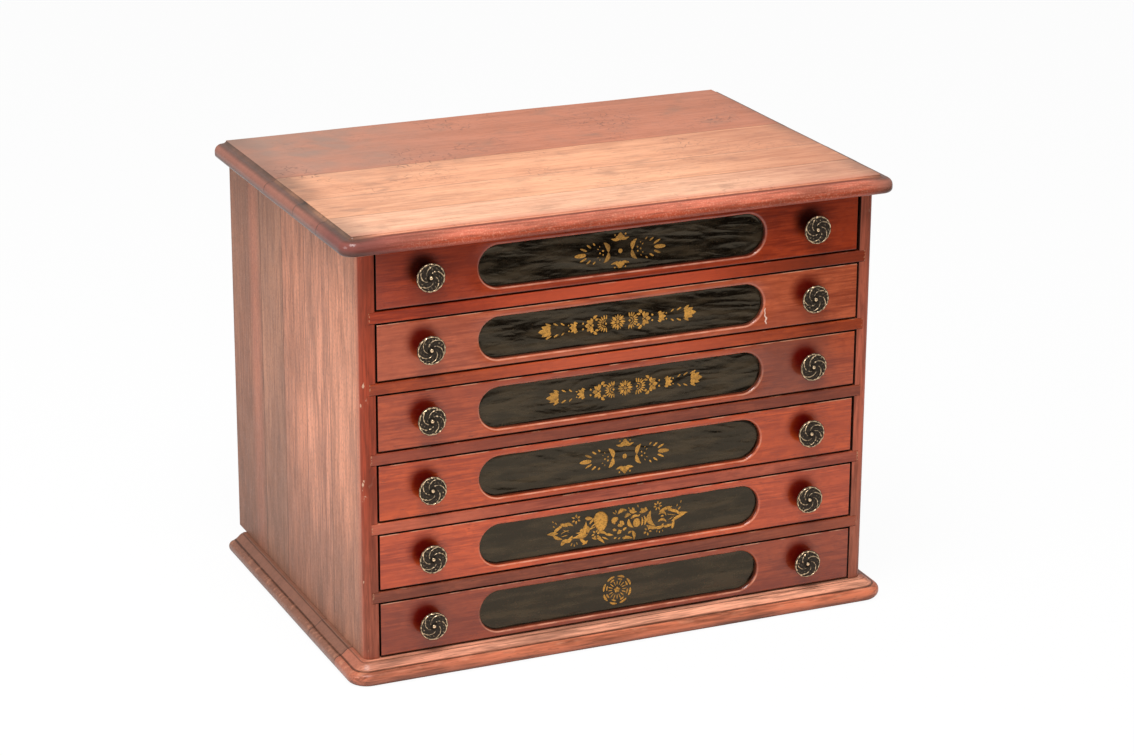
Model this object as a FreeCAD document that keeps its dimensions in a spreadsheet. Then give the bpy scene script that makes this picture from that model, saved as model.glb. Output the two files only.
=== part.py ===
"""Table-top haberdashery cabinet: a wooden case with moulded top and base, and six drawers.

Frame: millimetres, +X to the right as seen from the front, +Y to the back, +Z up. The origin is
the bottom centre of the whole cabinet, so the front of the case faces -Y.
"""
import FreeCAD, Part
import math
import os
import re
import Sketcher

Vector = FreeCAD.Vector

# Driving dimensions in millimetres. Each goes into one cell of the sheet under the same alias.
SIZES = {
    # case: two sides, five rails let into them, and the back boards between the sides
    "case_width": 580.6,
    "side_depth": 412.7,
    "side_thickness": 15.9,
    "side_arris_radius": 8.0,
    "small_arris_radius": 1.2,
    "opening_height": 63.2,
    "lowest_opening_height": 61.2,
    "highest_opening_height": 65.2,
    "rail_thickness": 12.5,
    "rail_depth": 45.0,
    "housing_depth": 7.0,
    "runner_width": 12.0,
    "back_board_thickness": 10.0,
    "back_board_inset": 0.5,
    "back_board_gap": 0.6,
    "back_board_end_setback": 5.0,
    "dowel_radius": 4.0,
    "dowel_length": 26.0,
    "dowel_clearance": 0.05,
    "dowel_end_gap": 0.5,
    "dowel_inset": 50.0,
    # both slabs stop short of the backs of the sides, and the back boards lie against them
    "slab_back_setback": 23.6,
    # top slab: cove, quirk, ovolo and a rounded underside along three edges
    "top_thickness": 19.0,
    "top_left_overhang": 24.0,
    "top_right_overhang": 17.3,
    "top_front_overhang": 20.0,
    "top_corner_radius": 1.8,
    "top_moulding_width": 13.5,
    "top_quirk_drop": 2.4,
    "top_cove_radius": 3.0,
    "top_ovolo_radius": 9.8,
    "top_nose_radius": 4.5,
    # base slab: step, ogee, quirk and a full nose along three edges
    "base_thickness": 22.5,
    "base_overhang": 21.5,
    "base_corner_radius": 6.0,
    "base_moulding_width": 17.0,
    "base_step": 0.8,
    "base_ogee_width": 10.5,
    "base_ogee_height": 6.0,
    "base_quirk": 0.8,
    "base_nose_height": 8.5,
    "base_foot_setback": 5.0,
    # drawers
    "drawer_side_gap": 1.5,
    "drawer_top_gap": 1.4,
    "drawer_front_lift": 1.2,
    "drawer_stop_gap": 0.3,
    "front_thickness": 19.0,
    "front_lap": 10.0,
    "drawer_side_thickness": 9.5,
    "drawer_back_thickness": 9.5,
    "bottom_thickness": 5.0,
    "bottom_lift": 5.0,
    "bottom_groove_depth": 4.5,
    "bottom_groove_clearance": 0.2,
    # sunk cartouche of each drawer front, with its japanned sheet
    "cartouche_length": 329.4,
    "cartouche_margin": 10.1,
    "cartouche_rim_radius": 3.2,
    "cartouche_depth": 4.6,
    "panel_thickness": 1.5,
    "panel_clearance": 0.15,
    # rosette knobs and the screws that hold them
    "knob_spacing": 436.0,
    "knob_radius": 16.3,
    "knob_foot_radius": 6.5,
    "knob_foot_thickness": 1.0,
    "knob_neck_radius": 5.5,
    "knob_neck_height": 6.0,
    "knob_rim_height": 11.0,
    "knob_rim_thickness": 1.8,
    "knob_height": 13.0,
    "knob_boss_radius": 3.2,
    "knob_boss_rise": 1.0,
    "knob_dome_radius": 60.0,
    "knob_bore_depth": 7.0,
    "screw_radius": 1.9,
    "screw_clearance": 0.05,
    "screw_head_radius": 4.0,
    "screw_head_height": 2.4,
    "screw_head_round": 1.0,
    "screw_engagement": 6.0,
}

DRAWER_COUNT = 6
BACK_BOARD_COUNT = 4
DOWELS_PER_EDGE = 3
# SLACK is the tolerance for comparing sizes; CUT_PAST is how far a cut runs past a face.
SLACK = 0.01
CUT_PAST = 1.0

DOC = FreeCAD.newDocument("haberdashery_cabinet")
SHEET = DOC.addObject("Spreadsheet::Sheet", "Sizes")


def fill_sheet():
    """Write each driving dimension as text beside its name, and give its cell the alias."""
    for row, (name, size) in enumerate(SIZES.items(), start=1):
        SHEET.set(f"A{row}", name)
        SHEET.set(f"B{row}", str(size))
        SHEET.setAlias(f"B{row}", name)
    DOC.recompute()


def sized(text):
    """Turn each size's name in a formula into a reference to its cell."""
    return re.sub(r"\w+", lambda word: f"Sizes.{word[0]}" if word[0] in SIZES else word[0], text)


def value(text):
    """Number that a formula gives with the sheet's present sizes."""
    return float(SHEET.evalExpression(sized(text)))


def bind(thing, path, text):
    """Drive one property of an object by a formula on the sheet."""
    thing.setExpression(path, sized(text))


def place(thing, x="0", y="0", z="0"):
    """Drive the position of a sub-part by three formulas."""
    bind(thing, "Placement.Base.x", x)
    bind(thing, "Placement.Base.y", y)
    bind(thing, "Placement.Base.z", z)
    return thing


def opening_height(level):
    """Clear height of the drawer opening at this level."""
    if level == 0:
        return "lowest_opening_height"
    if level == DRAWER_COUNT - 1:
        return "highest_opening_height"
    return "opening_height"


def opening_floor(level):
    """Height in the case of the surface under the drawer at this level, 0 the lowest."""
    if level == 0:
        return "0"
    return (f"( {opening_height(0)} + {level - 1} * opening_height"
            f" + {level} * rail_thickness )")


# Formulas that several sub-parts share.
FRONT_PLANE = "( ( base_overhang - side_depth ) / 2 )"
INNER_DEPTH = "( side_depth - slab_back_setback )"
SLAB_BACK_PLANE = f"( {FRONT_PLANE} + {INNER_DEPTH} )"
OPENING_WIDTH = "( case_width - 2 * side_thickness )"
CASE_HEIGHT = f"( {opening_floor(DRAWER_COUNT - 1)} + {opening_height(DRAWER_COUNT - 1)} )"
LEAST_OPENING = "min(opening_height; min(lowest_opening_height; highest_opening_height))"
CARTOUCHE_HEIGHT = f"( {LEAST_OPENING} - cartouche_margin )"
DRAWER_WIDTH = f"( {OPENING_WIDTH} - 2 * drawer_side_gap )"
DRAWER_LENGTH = f"( {INNER_DEPTH} - drawer_stop_gap )"
DOWEL_LINE = "( case_width / 2 - side_thickness / 2 )"
DOWEL_HOLE_RADIUS = "( dowel_radius + dowel_clearance )"
DOWEL_HOLE_DEPTH = "( dowel_length / 2 + dowel_end_gap )"


def new_body(label):
    """Empty body whose label names its file."""
    body = DOC.addObject("PartDesign::Body", label)
    body.Label = label
    body.AllowCompound = True
    return body


def origin_feature(body, role):
    """Plane or axis of the body's own origin."""
    return next(item for item in body.Origin.OriginFeatures if item.Role == role)


def sketch_on(body, role, name, offset="0"):
    """Sketch on one of the body's origin planes, moved along the plane's normal by offset."""
    sketch = body.newObject("Sketcher::SketchObject", name)
    sketch.AttachmentSupport = [(origin_feature(body, role), "")]
    sketch.MapMode = "FlatFace"
    bind(sketch, "AttachmentOffset.Base.z", offset)
    return sketch


def pin(sketch, geometry, point, x, y):
    """Drive one point of a sketch by two formulas."""
    for kind, text in (("DistanceX", x), ("DistanceY", y)):
        number = sketch.addConstraint(
            Sketcher.Constraint(kind, -1, 1, geometry, point, value(text)))
        bind(sketch, f"Constraints[{number}]", text)


def arc_between(start, end, radius, side):
    """Short arc from start to end; side 1 bulges to the right of the way, side -1 to the left."""
    way = end - start
    middle = start + way * 0.5
    left = Vector(-way.y, way.x, 0).normalize()
    to_centre = math.sqrt(max(radius ** 2 - way.Length ** 2 / 4, 0.0))
    centre = middle + left * (side * to_centre)
    return Part.Arc(start, centre - left * (side * radius), end)


def draw(sketch, points, arcs=None, closed=True):
    """Add one outline, or one open path, through points that are pairs of formulas.

    arcs maps the number of a piece, counted from 0, to a radius formula and a side.
    """
    arcs = arcs or {}
    corners = [Vector(value(x), value(y), 0) for x, y in points]
    count = len(points) if closed else len(points) - 1
    begins, ends = [], []
    for number in range(count):
        start = corners[number]
        end = corners[(number + 1) % len(corners)]
        if number in arcs:
            radius, side = arcs[number]
            index = sketch.addGeometry(arc_between(start, end, value(radius), side), False)
            begins_first = sketch.getPoint(index, 1).distanceToPoint(start) < SLACK
            begins.append((index, 1 if begins_first else 2))
            ends.append((index, 2 if begins_first else 1))
            limit = sketch.addConstraint(Sketcher.Constraint("Radius", index, value(radius)))
            bind(sketch, f"Constraints[{limit}]", radius)
        else:
            index = sketch.addGeometry(Part.LineSegment(start, end), False)
            begins.append((index, 1))
            ends.append((index, 2))
    for number in range(count):
        if closed or number > 0:
            sketch.addConstraint(
                Sketcher.Constraint("Coincident", *ends[number - 1], *begins[number]))
        pin(sketch, *begins[number], *points[number])
    if not closed:
        pin(sketch, *ends[-1], *points[-1])


def rectangle(sketch, left, low, right, high):
    """Add a rectangle between two corners given as formulas."""
    draw(sketch, [(left, low), (right, low), (right, high), (left, high)])


def circle(sketch, x, y, radius):
    """Add a circle about a point."""
    ring = Part.Circle(Vector(value(x), value(y), 0), Vector(0, 0, 1), value(radius))
    index = sketch.addGeometry(ring, False)
    number = sketch.addConstraint(Sketcher.Constraint("Radius", index, value(radius)))
    bind(sketch, f"Constraints[{number}]", radius)
    pin(sketch, index, 3, x, y)


def stadium(sketch, length, height, middle):
    """Add a slot outline with half-round ends, centred on x 0 and on the height middle."""
    straight = f"( ( {length} - {height} ) / 2 )"
    radius = f"( {height} / 2 )"
    low = f"( {middle} - {radius} )"
    high = f"( {middle} + {radius} )"
    end = f"( {length} / 2 )"
    points = [(f"( 0 - {straight} )", low), (straight, low), (end, middle), (straight, high),
              (f"( 0 - {straight} )", high), (f"( 0 - {end} )", middle)]
    draw(sketch, points, {number: (radius, 1) for number in (1, 2, 4, 5)})


def pad(body, sketch, length, reverse=False):
    """Extrude a sketch along its normal, or against it."""
    feature = body.newObject("PartDesign::Pad", "Pad")
    feature.Profile = sketch
    feature.Reversed = reverse
    bind(feature, "Length", length)
    DOC.recompute()
    return feature


def pocket(body, sketch, depth=None, reverse=False):
    """Cut a sketch into the body, right through it where no depth is given."""
    before = body.Shape.Volume
    feature = body.newObject("PartDesign::Pocket", "Pocket")
    feature.Profile = sketch
    feature.Reversed = reverse
    if depth is None:
        feature.Type = "ThroughAll"
    else:
        bind(feature, "Length", depth)
    DOC.recompute()
    if body.Shape.Volume > before - SLACK:
        raise RuntimeError(f"{body.Label}: {sketch.Label} cuts nothing")
    return feature


def fillet(body, base, radius, chosen):
    """Round the edges of the feature base for which chosen(edge) is true."""
    names = [f"Edge{number}" for number, edge in enumerate(base.Shape.Edges, start=1)
             if chosen(edge)]
    if not names:
        raise RuntimeError(f"{body.Label}: no edge to round")
    feature = body.newObject("PartDesign::Fillet", "Fillet")
    feature.Base = (base, names)
    bind(feature, "Radius", radius)
    DOC.recompute()
    return feature


def in_plane(edge, axis, level):
    """Whether every point of an edge is at this level on the axis 0, 1 or 2."""
    box = edge.BoundBox
    low = (box.XMin, box.YMin, box.ZMin)[axis]
    high = (box.XMax, box.YMax, box.ZMax)[axis]
    return abs(low - level) < SLACK and abs(high - level) < SLACK


def box(name, size, position):
    """Rectangular block from three size formulas and the three of its low corner."""
    block = DOC.addObject("Part::Box", name)
    block.Label = name
    bind(block, "Length", size[0])
    bind(block, "Width", size[1])
    bind(block, "Height", size[2])
    return place(block, *position)


def group(label, solids):
    """One node that holds several like pieces as separate solids."""
    compound = DOC.addObject("Part::Compound", label)
    compound.Label = label
    compound.Links = solids
    DOC.recompute()
    return compound


def moulded_slab(label, overhang, thickness, corner, section):
    """Slab with square-cut back and a moulding swept along its other three edges.

    overhang gives, at the left, the right and the front, that of the arris where the moulding
    starts. section(sketch, arris) draws the moulding outwards from the core's face at x = arris.
    """
    body = new_body(label)
    left, right = (f"( case_width / 2 + {side} )" for side in overhang[:2])
    front = f"( {FRONT_PLANE} - {overhang[2]} )"
    way = [(right, SLAB_BACK_PLANE), (right, f"( {front} + {corner} )"),
           (f"( {right} - {corner} )", front), (f"( {corner} - {left} )", front),
           (f"( 0 - {left} )", f"( {front} + {corner} )"), (f"( 0 - {left} )", SLAB_BACK_PLANE)]
    corners = {1: (corner, -1), 3: (corner, -1)}
    plan = sketch_on(body, "XY_Plane", f"{label}_plan")
    draw(plan, way, corners)
    pad(body, plan, thickness)
    path = sketch_on(body, "XY_Plane", f"{label}_path")
    draw(path, way, corners, closed=False)
    profile = sketch_on(body, "XZ_Plane", f"{label}_profile", f"( 0 - {SLAB_BACK_PLANE} )")
    section(profile, right)
    DOC.recompute()
    moulding = body.newObject("PartDesign::AdditivePipe", "Moulding")
    moulding.Profile = profile
    moulding.Spine = (path, [f"Edge{number}" for number in range(1, len(way))])
    DOC.recompute()
    return body


def top_section(sketch, arris):
    """Rounded underside, ovolo, quirk and a small cove up to the flat."""
    nose = f"( {arris} + top_moulding_width )"
    quirk = f"( {nose} - top_ovolo_radius )"
    quirk_height = "( top_thickness - top_quirk_drop )"
    points = [(arris, "0"), (f"( {nose} - top_nose_radius )", "0"), (nose, "top_nose_radius"),
              (nose, f"( {quirk_height} - top_ovolo_radius )"), (quirk, quirk_height),
              (arris, "top_thickness")]
    draw(sketch, points, {1: ("top_nose_radius", 1), 3: ("top_ovolo_radius", 1),
                          4: ("top_cove_radius", -1)})


def tangent_radius(across, along):
    """Radius of an arc that spans both distances and starts square to the first."""
    return f"( ( {across} ^ 2 + {along} ^ 2 ) / ( 2 * {across} ) )"


def base_section(sketch, arris):
    """Full nose, quirk and an ogee up to the step below the flat."""
    nose = f"( {arris} + base_moulding_width )"
    quirk = f"( {arris} + base_ogee_width )"
    ogee_top = "( base_thickness - base_step )"
    ogee_foot = f"( {ogee_top} - base_ogee_height )"
    nose_top = f"( {ogee_foot} - base_quirk )"
    ogee_radius = tangent_radius("( base_ogee_height / 2 )", "( base_ogee_width / 2 )")
    points = [(arris, "0"), (f"( {nose} - base_foot_setback )", "0"),
              (nose, "base_nose_height"), (quirk, nose_top), (quirk, ogee_foot),
              (f"( {arris} + base_ogee_width / 2 )", f"( {ogee_foot} + base_ogee_height / 2 )"),
              (arris, ogee_top)]
    lower = tangent_radius("base_foot_setback", "base_nose_height")
    upper = tangent_radius("( base_moulding_width - base_ogee_width )",
                           f"( {nose_top} - base_nose_height )")
    draw(sketch, points, {1: (lower, 1), 2: (upper, 1), 4: (ogee_radius, -1),
                          5: (ogee_radius, 1)})


def dowel_distances():
    """Distance of each dowel of one edge from the front of the case."""
    step = f"( ( {INNER_DEPTH} - 2 * dowel_inset ) / {DOWELS_PER_EDGE - 1} )"
    return [f"( dowel_inset + {number} * {step} )" for number in range(DOWELS_PER_EDGE)]


def drill_slab(body, level, upwards):
    """Blind dowel holes over both side boards, into the slab's underside or its top."""
    sketch = sketch_on(body, "XY_Plane", f"{body.Label}_holes", level)
    for hand in ("", "0 - "):
        for distance in dowel_distances():
            circle(sketch, f"( {hand}{DOWEL_LINE} )", f"( {FRONT_PLANE} + {distance} )",
                   DOWEL_HOLE_RADIUS)
    pocket(body, sketch, DOWEL_HOLE_DEPTH, reverse=upwards)


def top_slab():
    """Top of the case, a board with its grain along the front."""
    overhang = [f"( top_{edge}_overhang - top_moulding_width )"
                for edge in ("left", "right", "front")]
    body = moulded_slab("top", overhang, "top_thickness", "top_corner_radius", top_section)
    drill_slab(body, "0", upwards=True)
    return place(body, z=f"( base_thickness + {CASE_HEIGHT} )")


def base_slab():
    """Base of the case, a thicker board that the cabinet stands on."""
    overhang = ["( base_overhang - base_moulding_width )"] * 3
    body = moulded_slab("base", overhang, "base_thickness", "base_corner_radius", base_section)
    drill_slab(body, "base_thickness", upwards=False)
    return place(body)


def side_board(label, hand):
    """Side of the case: rounded outer front arris, housings for rails and runners."""
    body = new_body(label)
    inwards = -hand
    thickness = f"( {inwards} * side_thickness )"
    plan = sketch_on(body, "XY_Plane", f"{label}_plan")
    draw(plan, [("0", "side_arris_radius"), (f"( {inwards} * side_arris_radius )", "0"),
                (thickness, "0"), (thickness, "side_depth"), ("0", "side_depth")],
         {0: ("side_arris_radius", inwards)})
    board = pad(body, plan, CASE_HEIGHT)
    inner_face = value(thickness)
    fillet(body, board, "small_arris_radius",
           lambda edge: in_plane(edge, 0, inner_face) and in_plane(edge, 1, 0.0))
    housings = sketch_on(body, "XZ_Plane", f"{label}_housings")
    for level in range(1, DRAWER_COUNT):
        floor = opening_floor(level)
        edges = [f"( {inwards} * ( side_thickness - housing_depth ) )",
                 f"( {inwards} * ( side_thickness + {CUT_PAST} ) )"]
        rectangle(housings, edges[0], f"( {floor} - rail_thickness )", edges[1], floor)
    pocket(body, housings, INNER_DEPTH)
    for end, level in (("low", "0"), ("high", CASE_HEIGHT)):
        holes = sketch_on(body, "XY_Plane", f"{label}_{end}_holes", level)
        for distance in dowel_distances():
            circle(holes, f"( {inwards} * side_thickness / 2 )", distance, DOWEL_HOLE_RADIUS)
        pocket(body, holes, DOWEL_HOLE_DEPTH, reverse=end == "low")
    return place(body, f"( {hand} * case_width / 2 )", FRONT_PLANE, "base_thickness")


def rail(level):
    """Front rail under the drawer at this level, its ends let into both sides."""
    label = f"rail_{DRAWER_COUNT - level}"
    body = new_body(label)
    plan = sketch_on(body, "XY_Plane", f"{label}_plan")
    half = f"( {OPENING_WIDTH} / 2 + housing_depth )"
    rectangle(plan, f"( 0 - {half} )", "0", half, "rail_depth")
    board = pad(body, plan, "rail_thickness")
    length = value(f"( 2 * {half} )")
    fillet(body, board, "small_arris_radius",
           lambda edge: in_plane(edge, 1, 0.0) and abs(edge.Length - length) < SLACK)
    return place(body, "0", FRONT_PLANE,
                 f"( base_thickness + {opening_floor(level)} - rail_thickness )")


def runners():
    """Drawer runners: a strip behind each end of each rail, in the same housing."""
    strips = []
    outer = f"( {OPENING_WIDTH} / 2 + housing_depth )"
    size = ("( housing_depth + runner_width )", f"( {INNER_DEPTH} - rail_depth )", "rail_thickness")
    for level in range(1, DRAWER_COUNT):
        height = f"( base_thickness + {opening_floor(level)} - rail_thickness )"
        for side, x in (("left", f"( 0 - {outer} )"), ("right", f"( {outer} - {size[0]} )")):
            strips.append(box(f"runner_{level}_{side}", size,
                              (x, f"( {FRONT_PLANE} + rail_depth )", height)))
    return group("runners", strips)


def back_boards():
    """Upright boards between the sides, laid against the square-cut backs of both slabs."""
    span = f"( {OPENING_WIDTH} - 2 * back_board_inset )"
    width = f"( {span} / {BACK_BOARD_COUNT} )"
    height = f"( base_thickness + {CASE_HEIGHT} + top_thickness - 2 * back_board_end_setback )"
    boards = []
    for number in range(BACK_BOARD_COUNT):
        left = f"( {number} * {width} - {span} / 2 )"
        boards.append(box(f"back_board_{number + 1}",
                          (f"( {width} - back_board_gap )", "back_board_thickness", height),
                          (f"( {left} + back_board_gap / 2 )", SLAB_BACK_PLANE,
                           "back_board_end_setback")))
    return group("back_boards", boards)


def dowels():
    """Dowels that join both sides to the base and to the top."""
    pegs = []
    joints = (("low", "base_thickness"), ("high", f"( base_thickness + {CASE_HEIGHT} )"))
    for end, height in joints:
        for side, hand in (("left", "0 - "), ("right", "")):
            for number, distance in enumerate(dowel_distances(), start=1):
                peg = DOC.addObject("Part::Cylinder", f"dowel_{end}_{side}_{number}")
                bind(peg, "Radius", "dowel_radius")
                bind(peg, "Height", "dowel_length")
                pegs.append(place(peg, f"( {hand}{DOWEL_LINE} )",
                                  f"( {FRONT_PLANE} + {distance} )",
                                  f"( {height} - dowel_length / 2 )"))
    return group("case_dowels", pegs)


def front_height(level):
    """Height of the drawer front that fills the opening at this level."""
    return f"( {opening_height(level)} - drawer_front_lift - drawer_top_gap )"


def front_foot(level):
    """Height of the lower edge of the drawer front at this level."""
    return f"( base_thickness + {opening_floor(level)} + drawer_front_lift )"


def box_height(level):
    """Height of the drawer's sides, which stand on the runners."""
    return f"( {opening_height(level)} - drawer_top_gap )"


def drawer_foot(level):
    """Height of the surface that the drawer's sides run on."""
    return f"( base_thickness + {opening_floor(level)} )"


def drawer_front(label, level):
    """Drawer front with its sunk cartouche, lapped ends, bottom groove and knob holes."""
    body = new_body(label)
    half = f"( {DRAWER_WIDTH} / 2 )"
    height = front_height(level)
    face = sketch_on(body, "XZ_Plane", f"{label}_face")
    rectangle(face, f"( 0 - {half} )", "0", half, height)
    board = pad(body, face, "front_thickness", reverse=True)
    fillet(body, board, "small_arris_radius", lambda edge: in_plane(edge, 1, 0.0))
    sunk_length = "( cartouche_length - 2 * cartouche_rim_radius )"
    sunk_height = f"( {CARTOUCHE_HEIGHT} - 2 * cartouche_rim_radius )"
    cartouche = sketch_on(body, "XZ_Plane", f"{label}_cartouche")
    stadium(cartouche, sunk_length, sunk_height, f"( {height} / 2 )")
    sunk = pocket(body, cartouche, "( cartouche_depth + panel_thickness )")
    reach = value(sunk_length) / 2 + SLACK
    fillet(body, sunk, "cartouche_rim_radius", lambda edge: (
        in_plane(edge, 1, 0.0) and edge.BoundBox.XMax < reach and edge.BoundBox.XMin > -reach))
    laps = sketch_on(body, "XY_Plane", f"{label}_laps")
    shoulder = "( front_thickness - front_lap )"
    behind = f"( front_thickness + {CUT_PAST} )"
    rectangle(laps, f"( 0 - {half} - {CUT_PAST} )", shoulder,
              f"( drawer_side_thickness - {half} )", behind)
    rectangle(laps, f"( {half} - drawer_side_thickness )", shoulder,
              f"( {half} + {CUT_PAST} )", behind)
    pocket(body, laps, reverse=True)
    groove = sketch_on(body, "YZ_Plane", f"{label}_groove", half)
    lift = "( bottom_lift - drawer_front_lift )"
    rectangle(groove, "( front_thickness - bottom_groove_depth )", lift, behind,
              f"( {lift} + bottom_thickness + bottom_groove_clearance )")
    pocket(body, groove)
    holes = sketch_on(body, "XZ_Plane", f"{label}_holes")
    for hand in ("", "0 - "):
        circle(holes, f"( {hand}knob_spacing / 2 )", f"( {height} / 2 )",
               "( screw_radius + screw_clearance )")
    pocket(body, holes)
    return place(body, "0", FRONT_PLANE, front_foot(level))


def drawer_side(label, level, hand):
    """Drawer side, lapped over the front's end, with the groove that carries the bottom."""
    body = new_body(label)
    section = sketch_on(body, "XZ_Plane", f"{label}_section")
    inner = f"( {-hand} * drawer_side_thickness )"
    deep = f"( {-hand} * ( drawer_side_thickness - bottom_groove_depth ) )"
    height = box_height(level)
    groove_top = "( bottom_lift + bottom_thickness + bottom_groove_clearance )"
    draw(section, [("0", "0"), (inner, "0"), (inner, "bottom_lift"), (deep, "bottom_lift"),
                   (deep, groove_top), (inner, groove_top), (inner, height), ("0", height)])
    shoulder = "( front_thickness - front_lap )"
    pad(body, section, f"( {DRAWER_LENGTH} - {shoulder} )", reverse=True)
    return place(body, f"( {hand} * {DRAWER_WIDTH} / 2 )", f"( {FRONT_PLANE} + {shoulder} )",
                 drawer_foot(level))


def drawer_back(label, level):
    """Drawer back, which stands on the bottom between the sides."""
    inside = f"( {DRAWER_WIDTH} - 2 * drawer_side_thickness )"
    low = "( bottom_lift + bottom_thickness )"
    return box(label, (inside, "drawer_back_thickness", f"( {box_height(level)} - {low} )"),
               (f"( 0 - {inside} / 2 )",
                f"( {FRONT_PLANE} + {DRAWER_LENGTH} - drawer_back_thickness )",
                f"( {drawer_foot(level)} + {low} )"))


def drawer_bottom(label, level):
    """Thin bottom, slid from behind into the grooves of the sides and the front."""
    reach = "( bottom_groove_depth - bottom_groove_clearance )"
    width = f"( {DRAWER_WIDTH} - 2 * drawer_side_thickness + 2 * {reach} )"
    return box(label, (width, f"( {DRAWER_LENGTH} - front_thickness + {reach} )",
                       "bottom_thickness"),
               (f"( 0 - {width} / 2 )", f"( {FRONT_PLANE} + front_thickness - {reach} )",
                f"( {drawer_foot(level)} + bottom_lift )"))


def drawer_panel(label, level):
    """Japanned sheet in the floor of the cartouche."""
    body = new_body(label)
    face = sketch_on(body, "XZ_Plane", f"{label}_face")
    edge = "2 * ( cartouche_rim_radius + panel_clearance )"
    stadium(face, f"( cartouche_length - {edge} )", f"( {CARTOUCHE_HEIGHT} - {edge} )",
            f"( {front_height(level)} / 2 )")
    pad(body, face, "panel_thickness", reverse=True)
    return place(body, "0", f"( {FRONT_PLANE} + cartouche_depth )", front_foot(level))


def turned_pair(label, points, arcs, level, y):
    """Two like turnings about axes along Y, one for each knob of the drawer at this level."""
    body = new_body(label)
    section = sketch_on(body, "XY_Plane", f"{label}_section")
    draw(section, points, arcs)
    turning = body.newObject("PartDesign::Revolution", "Turning")
    turning.Profile = section
    turning.ReferenceAxis = (section, ["V_Axis"])
    DOC.recompute()
    pair = body.newObject("PartDesign::LinearPattern", "Pair")
    pair.Originals = [turning]
    pair.Direction = (origin_feature(body, "X_Axis"), [""])
    pair.Occurrences = 2
    bind(pair, "Length", "knob_spacing")
    body.Tip = pair
    return place(body, "( 0 - knob_spacing / 2 )", y,
                 f"( {front_foot(level)} + {front_height(level)} / 2 )")


def drawer_knobs(label, level):
    """Cast rosette knobs: foot, neck, dished back, domed face, centre boss and blind bore."""
    bore = "( screw_radius + screw_clearance )"
    points = [
        (bore, "0"), ("knob_foot_radius", "0"),
        ("knob_foot_radius", "( 0 - knob_foot_thickness )"),
        ("knob_neck_radius", "( 0 - 2 * knob_foot_thickness )"),
        ("knob_neck_radius", "( 0 - knob_neck_height )"),
        ("knob_radius", "( knob_rim_thickness - knob_rim_height )"),
        ("knob_radius", "( 0 - knob_rim_height )"),
        ("knob_boss_radius", "( knob_boss_rise - knob_height )"),
        ("( knob_boss_radius - knob_boss_rise )", "( 0 - knob_height )"),
        ("0", "( 0 - knob_height )"), ("0", "( 0 - knob_bore_depth )"),
        (bore, "( 0 - knob_bore_depth )")]
    return turned_pair(label, points, {6: ("knob_dome_radius", -1)}, level, FRONT_PLANE)


def knob_screws(label, level):
    """Screws from inside the drawer, through the front and into the knobs."""
    tip = "( 0 - front_thickness - screw_engagement )"
    points = [
        ("0", tip), ("screw_radius", tip), ("screw_radius", "0"), ("screw_head_radius", "0"),
        ("screw_head_radius", "( screw_head_height - screw_head_round )"),
        ("( screw_head_radius - screw_head_round )", "screw_head_height"),
        ("0", "screw_head_height")]
    return turned_pair(label, points, {4: ("screw_head_round", 1)}, level,
                       f"( {FRONT_PLANE} + front_thickness )")


def drawer(number):
    """All sub-parts of one drawer; drawer 1 is the uppermost."""
    level = DRAWER_COUNT - number
    name = f"drawer_{number}"
    return [
        drawer_front(f"{name}_front", level),
        drawer_side(f"{name}_left_side", level, -1),
        drawer_side(f"{name}_right_side", level, 1),
        drawer_back(f"{name}_back", level),
        drawer_bottom(f"{name}_bottom", level),
        drawer_panel(f"{name}_panel", level),
        drawer_knobs(f"{name}_knobs", level),
        knob_screws(f"{name}_knob_screws", level),
    ]


def check(pieces):
    """Stop if any object failed, or any sub-part has no valid shape."""
    for item in DOC.Objects:
        if "Invalid" in item.State or "Error" in item.State:
            raise RuntimeError(f"{item.Label}: {item.State}")
    for piece in pieces:
        if piece.Shape.isNull() or not piece.Shape.isValid():
            raise RuntimeError(f"{piece.Label}: no valid shape")


fill_sheet()
PIECES = [top_slab(), base_slab(), side_board("left_side", -1), side_board("right_side", 1)]
PIECES += [rail(level) for level in range(DRAWER_COUNT - 1, 0, -1)]
PIECES += [runners(), back_boards(), dowels()]
for drawer_number in range(1, DRAWER_COUNT + 1):
    PIECES += drawer(drawer_number)
DOC.recompute()
check(PIECES)
os.makedirs("parts", exist_ok=True)
for piece in PIECES:
    piece.Shape.exportStep(f"parts/{piece.Label}.step")
print(f"{len(PIECES)} nodes, {sum(len(piece.Shape.Solids) for piece in PIECES)} solids")
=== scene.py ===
"""Haberdashery cabinet: the looks of its wood, japanned sheets and cast knobs, in metres."""
import math
import bmesh
import bpy
import numpy as np
from mathutils import Matrix, Vector


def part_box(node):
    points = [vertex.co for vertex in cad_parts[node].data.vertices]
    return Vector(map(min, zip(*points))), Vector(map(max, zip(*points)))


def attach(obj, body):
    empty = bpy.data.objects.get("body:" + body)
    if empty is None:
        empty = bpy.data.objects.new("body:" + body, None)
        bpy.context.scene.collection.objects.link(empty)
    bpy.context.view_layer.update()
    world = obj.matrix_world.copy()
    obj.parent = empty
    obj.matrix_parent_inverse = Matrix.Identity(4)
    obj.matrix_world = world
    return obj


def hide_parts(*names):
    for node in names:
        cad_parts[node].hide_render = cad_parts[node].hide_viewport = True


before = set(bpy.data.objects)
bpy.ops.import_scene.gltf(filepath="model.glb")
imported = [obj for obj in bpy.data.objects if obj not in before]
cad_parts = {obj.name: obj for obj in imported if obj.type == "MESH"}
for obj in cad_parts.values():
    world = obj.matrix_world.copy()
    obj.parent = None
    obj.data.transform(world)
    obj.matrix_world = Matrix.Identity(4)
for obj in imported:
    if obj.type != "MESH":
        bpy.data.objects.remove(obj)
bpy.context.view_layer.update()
scene = bpy.context.scene

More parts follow.
